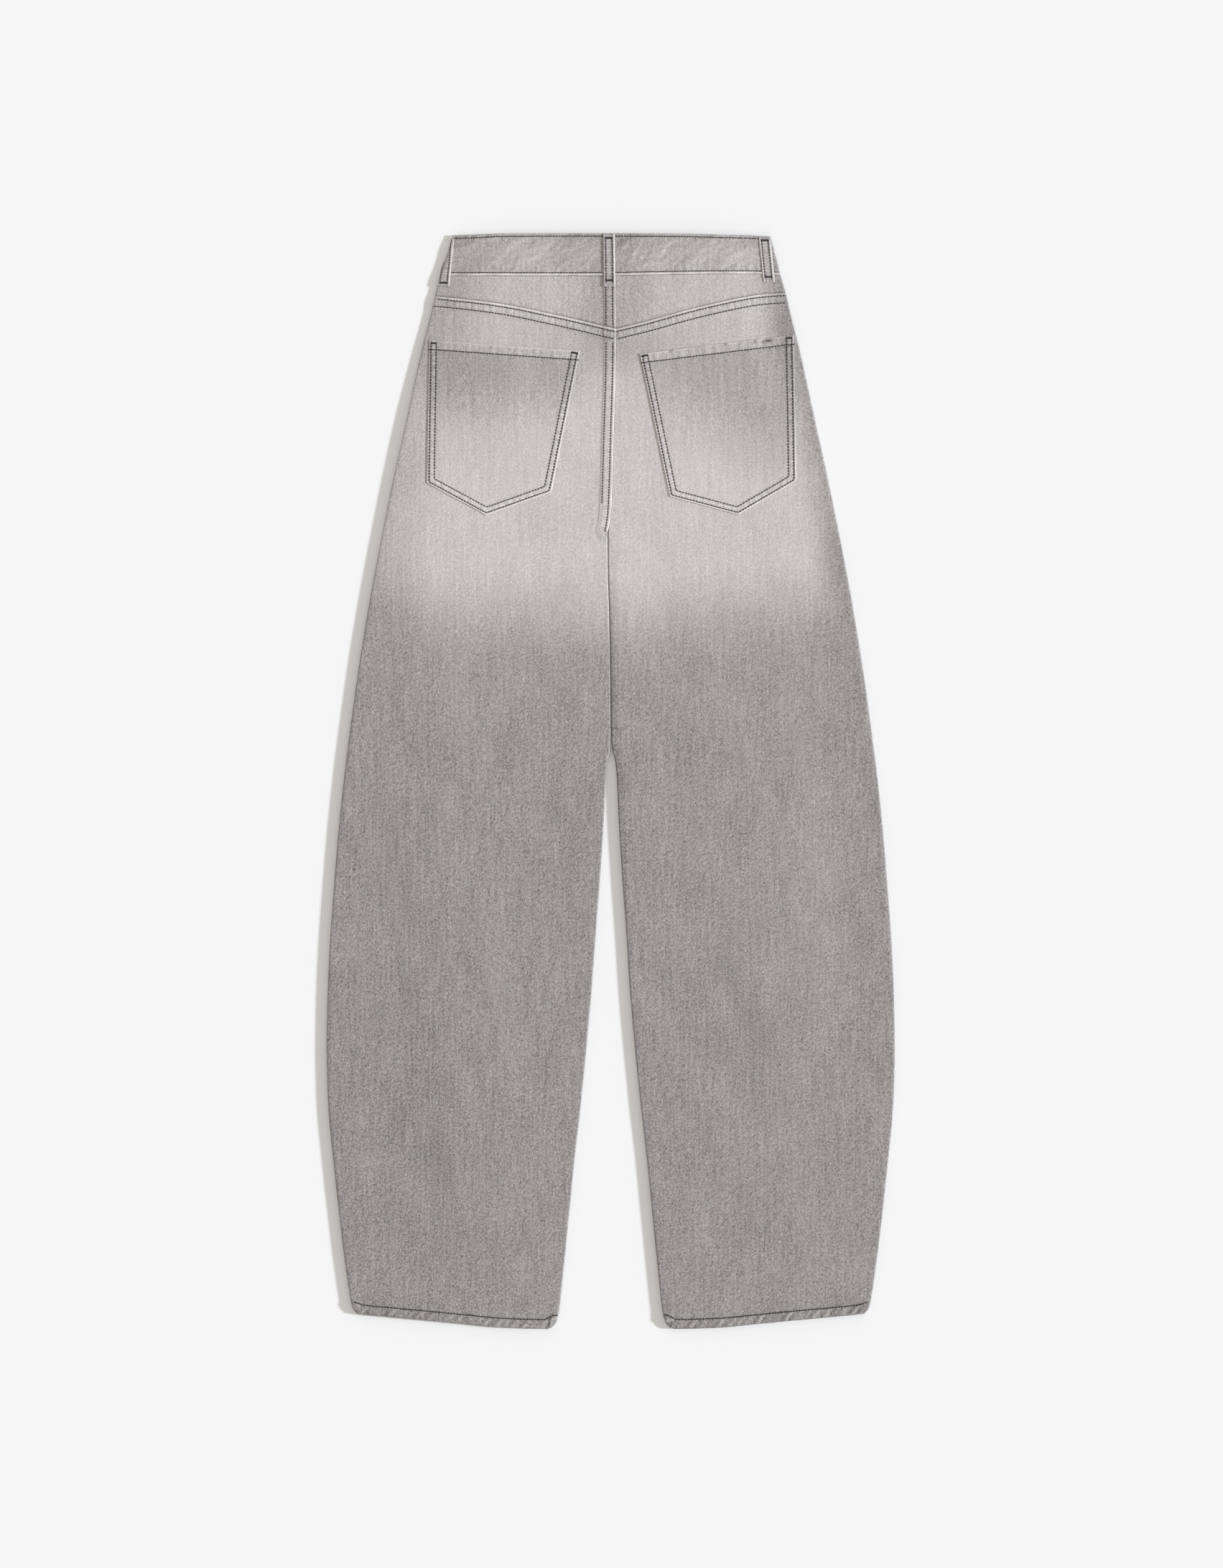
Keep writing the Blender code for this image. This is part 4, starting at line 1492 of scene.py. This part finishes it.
    def seat_stitches(self, panels: tuple[Panel, Panel, Panel]) -> None:
        """Two rows along the felled seat seam, over the leg and over the yoke."""
        back, yoke, _ = panels
        for offset, end in zip(SEAT_ROWS, (296.0, 268.0)):
            for panel, first, last in ((back, 108.0, end), (yoke, 52.0, 91.0)):
                down = np.linspace(first, last, 40)
                route = Route(pairs(PATTERN.back_seam(down), down)).offset(offset)
                self.heavy.row(route, panel.height, pitch=2.7, width=1.0)

    def pockets(self) -> None:
        """Both back pockets with their stitches, tacks and worn top edge."""
        shapes = {
            Side.LEFT: ((-179.8, 105.6), (-30.6, 116.4), (-58.9, 256.2), (-123.2, 279.0),
                        (-181.9, 247.2)),
            Side.RIGHT: ((181.0, 100.4), (28.6, 119.2), (58.4, 260.6), (126.0, 278.6), (183.4, 245.0)),
        }
        for side, corners in shapes.items():
            name, right = side.name.lower(), side is Side.RIGHT
            pocket = Pocket("pocket_" + name, self.denim, ("back_leg_" + name,), corners=corners)
            hem = Route.through(*corners[:2]).flipped(right)
            sides = Route.through(*corners[1:], corners[0])
            pocket.details = [
                SeamBand(pocket.outline(), (), 0.9, rounding=0.6, pucker_height=0.0, pucker_tone=0.0,
                         pale=22.0, pale_at=0.7, pale_width=0.9, inside_tone=0.0,
                         seed=50 + side.value),
                SeamBand(sides.flipped(right), POCKET_ROWS, 8.2, raised=0.15, rounding=0.05,
                         pucker=(3.0, 6.8), pucker_height=0.16, pucker_tone=12.0, pitch=7.5, pale=0.0,
                         seed=60 + side.value),
                SeamBand(hem, (POCKET_HEM_ROW,), 9.8, raised=0.3, rounding=0.05, pucker=(1.2, 8.4),
                         inside_tone=14.0, pucker_height=0.12, pucker_tone=11.0, pitch=8.5, pale=5.0,
                         seed=70 + side.value),
                Rumple(70.0, 11.0, 30.0, 0.05, 3.0, 75 + side.value),
            ]
            if right:
                pocket.details += self.worn_edge()
            pocket.build()
            near, far = (sides.offset(-side.value * offset) for offset in POCKET_ROWS)
            for row, width in ((near, 1.1), (far, 1.0)):
                self.heavy.row(row, pocket.height, pitch=3.0, width=width, margin=2.0)
            self.heavy.row(hem.offset(POCKET_HEM_ROW), pocket.height, pitch=3.0, width=1.1)
            self.pocket_tacks(near.points, far.points, pocket.height)

    def pocket_tacks(self, near: Array, far: Array, height: Height) -> None:
        """Bar tacks between the two rows at both upper corners."""
        for here, there in ((near[0], far[0]), (near[-1], far[-1])):
            drop = np.array([0.0, 3.0])
            self.heavy.tack(tuple(here + drop), tuple(there + drop), height, across=2.2, width=0.9)

    def worn_edge(self) -> list[Crease]:
        """Nicks and rubbed patches along the top of the right pocket."""
        rows = [
            (154.5, 106.4, 2, 17, 1.9, -0.3, -62.0), (142.0, 107.2, 0, 6, 1.5, -0.2, -50.0),
            (152.0, 102.2, 8, 16, 1.4, 0.4, 30.0), (113.5, 109.6, 70, 6, 1.1, -0.2, -62.0),
            (87.5, 112.2, 60, 5, 1.1, -0.2, -38.0), (60.0, 115.8, 12, 10, 1.6, -0.3, -56.0),
            (66.0, 113.6, 10, 7, 1.0, 0.3, 24.0), (129.0, 108.0, 20, 5, 1.0, -0.1, -24.0),
        ]
        return [Crease(*row) for row in rows]

    def waist(self) -> None:
        """Waistband, belt loops and their stitches."""
        xs = np.linspace(-168.0, 168.0, 80)
        top = Route(pairs(xs, PATTERN.band_top(xs)))
        bottom = Route(pairs(xs, PATTERN.band_bottom(xs))[::-1])
        band = Waistband("waistband", self.denim, ("yoke_left", "yoke_right"), details=[
            SeamBand(top, (BAND_TOP_ROW,), 4.0, rounding=1.0, pucker=(4.4, 9.0), pucker_height=0.1,
                     pucker_tone=5.0, pitch=8.0, pale=4.0, seed=81),
            SeamBand(bottom, (BAND_BOTTOM_ROW,), 2.6, raised=0.1, pucker=(3.8, 9.4),
                     pucker_height=0.16, pucker_tone=9.0, pitch=7.0, pale=48.0, pale_width=1.3,
                     seed=82),
            Rumple(24.0, 9.0, 34.0, 0.22, 10.0, 90), Rumple(36.0, 4.6, 15.0, 0.10, 6.0, 94),
            *self.band_creases()])
        band.build()
        for row, margin in ((top.offset(BAND_TOP_ROW), 12.0), (bottom.offset(BAND_BOTTOM_ROW), 8.0)):
            self.heavy.row(row, band.height, pitch=2.8, width=1.0, margin=margin)
        self.back_loops()
        for name, sign in (("loop_front_left", -1), ("loop_front_right", 1)):
            x = sign * 92.0
            down = float(PATTERN.band_top(x) + PATTERN.dip(x)) + 1.0
            BeltLoop(name, self.denim, ("floor",), head=(x, down), foot=(x, down + 52.5), arch=0.0,
                     head_height=0.0, foot_height=0.0, face=Face.DOWN, wall_height=1.4,
                     seed=5 + sign).build()

    def back_loops(self) -> None:
        """The three loops that show, each with two rows and a tack at both ends."""
        centre = BeltLoop("loop_back_centre", self.denim, ("waistband",), head=(-1.9, 0.6),
                          foot=(-1.1, 53.0), foot_height=8.0, seed=2)
        right = BeltLoop("loop_back_right", self.denim, ("waistband",), head=(151.9, 3.4),
                         foot=(156.6, 48.5), seed=3)
        for loop in (centre, right):
            loop.build()
            for across in LOOP_ROWS:
                row = Route(loop.place(across, np.linspace(0.07, 0.93, 30)))
                self.heavy.row(row, loop.top, pitch=2.7, width=1.0)
            for share in (0.08, 0.88):
                start, end = loop.place(-LOOP_TACK, share), loop.place(LOOP_TACK, share)
                self.heavy.tack(tuple(start), tuple(end), loop.top)
        wrapped = WrappedLoop("loop_back_left", self.denim, ("waistband",), head=(-158.0, 2.0),
                              foot=(-164.7, 52.5), seed=6)
        wrapped.build()
        self.wrapped_stitches(wrapped)

    def wrapped_stitches(self, loop: WrappedLoop) -> None:
        """Stitches of the bent loop, placed on its own bent surface."""
        radius, lowest = 0.5, 0.9
        outside = SEAM + loop.wall_height
        for across in LOOP_ROWS:
            points = loop.bend(across, np.linspace(0.07, 0.9, 18), outside + 0.05)
            points[..., 2] = np.maximum(points[..., 2], lowest)
            pause = 0.07 * np.diff(points, axis=0)
            self.heavy.lay(points[:-1] + pause, points[1:] - pause, radius)
        across = np.linspace(-LOOP_TACK, LOOP_TACK, 13)
        first, last = (loop.bend(across, share, outside + 0.1) for share in (0.91, 0.95))
        self.heavy.lay(first, last, radius)

    def button(self) -> None:
        """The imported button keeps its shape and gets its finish."""
        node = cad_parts["button"]
        node.data.materials.clear()
        node.data.materials.append(ButtonFinish().material())
        LOG.info("button: %d faces", len(node.data.polygons))


def main() -> None:
    """Build the garment and its studio."""
    logging.basicConfig(level=logging.INFO, format="%(name)s %(message)s")
    Studio().build()
    thread = ThreadFinish("charcoal_thread", (0.010, 0.010, 0.012, 1.0)).material()
    Trousers(DenimFinish().material(), thread).build()


if __name__ == "__main__":
    main()
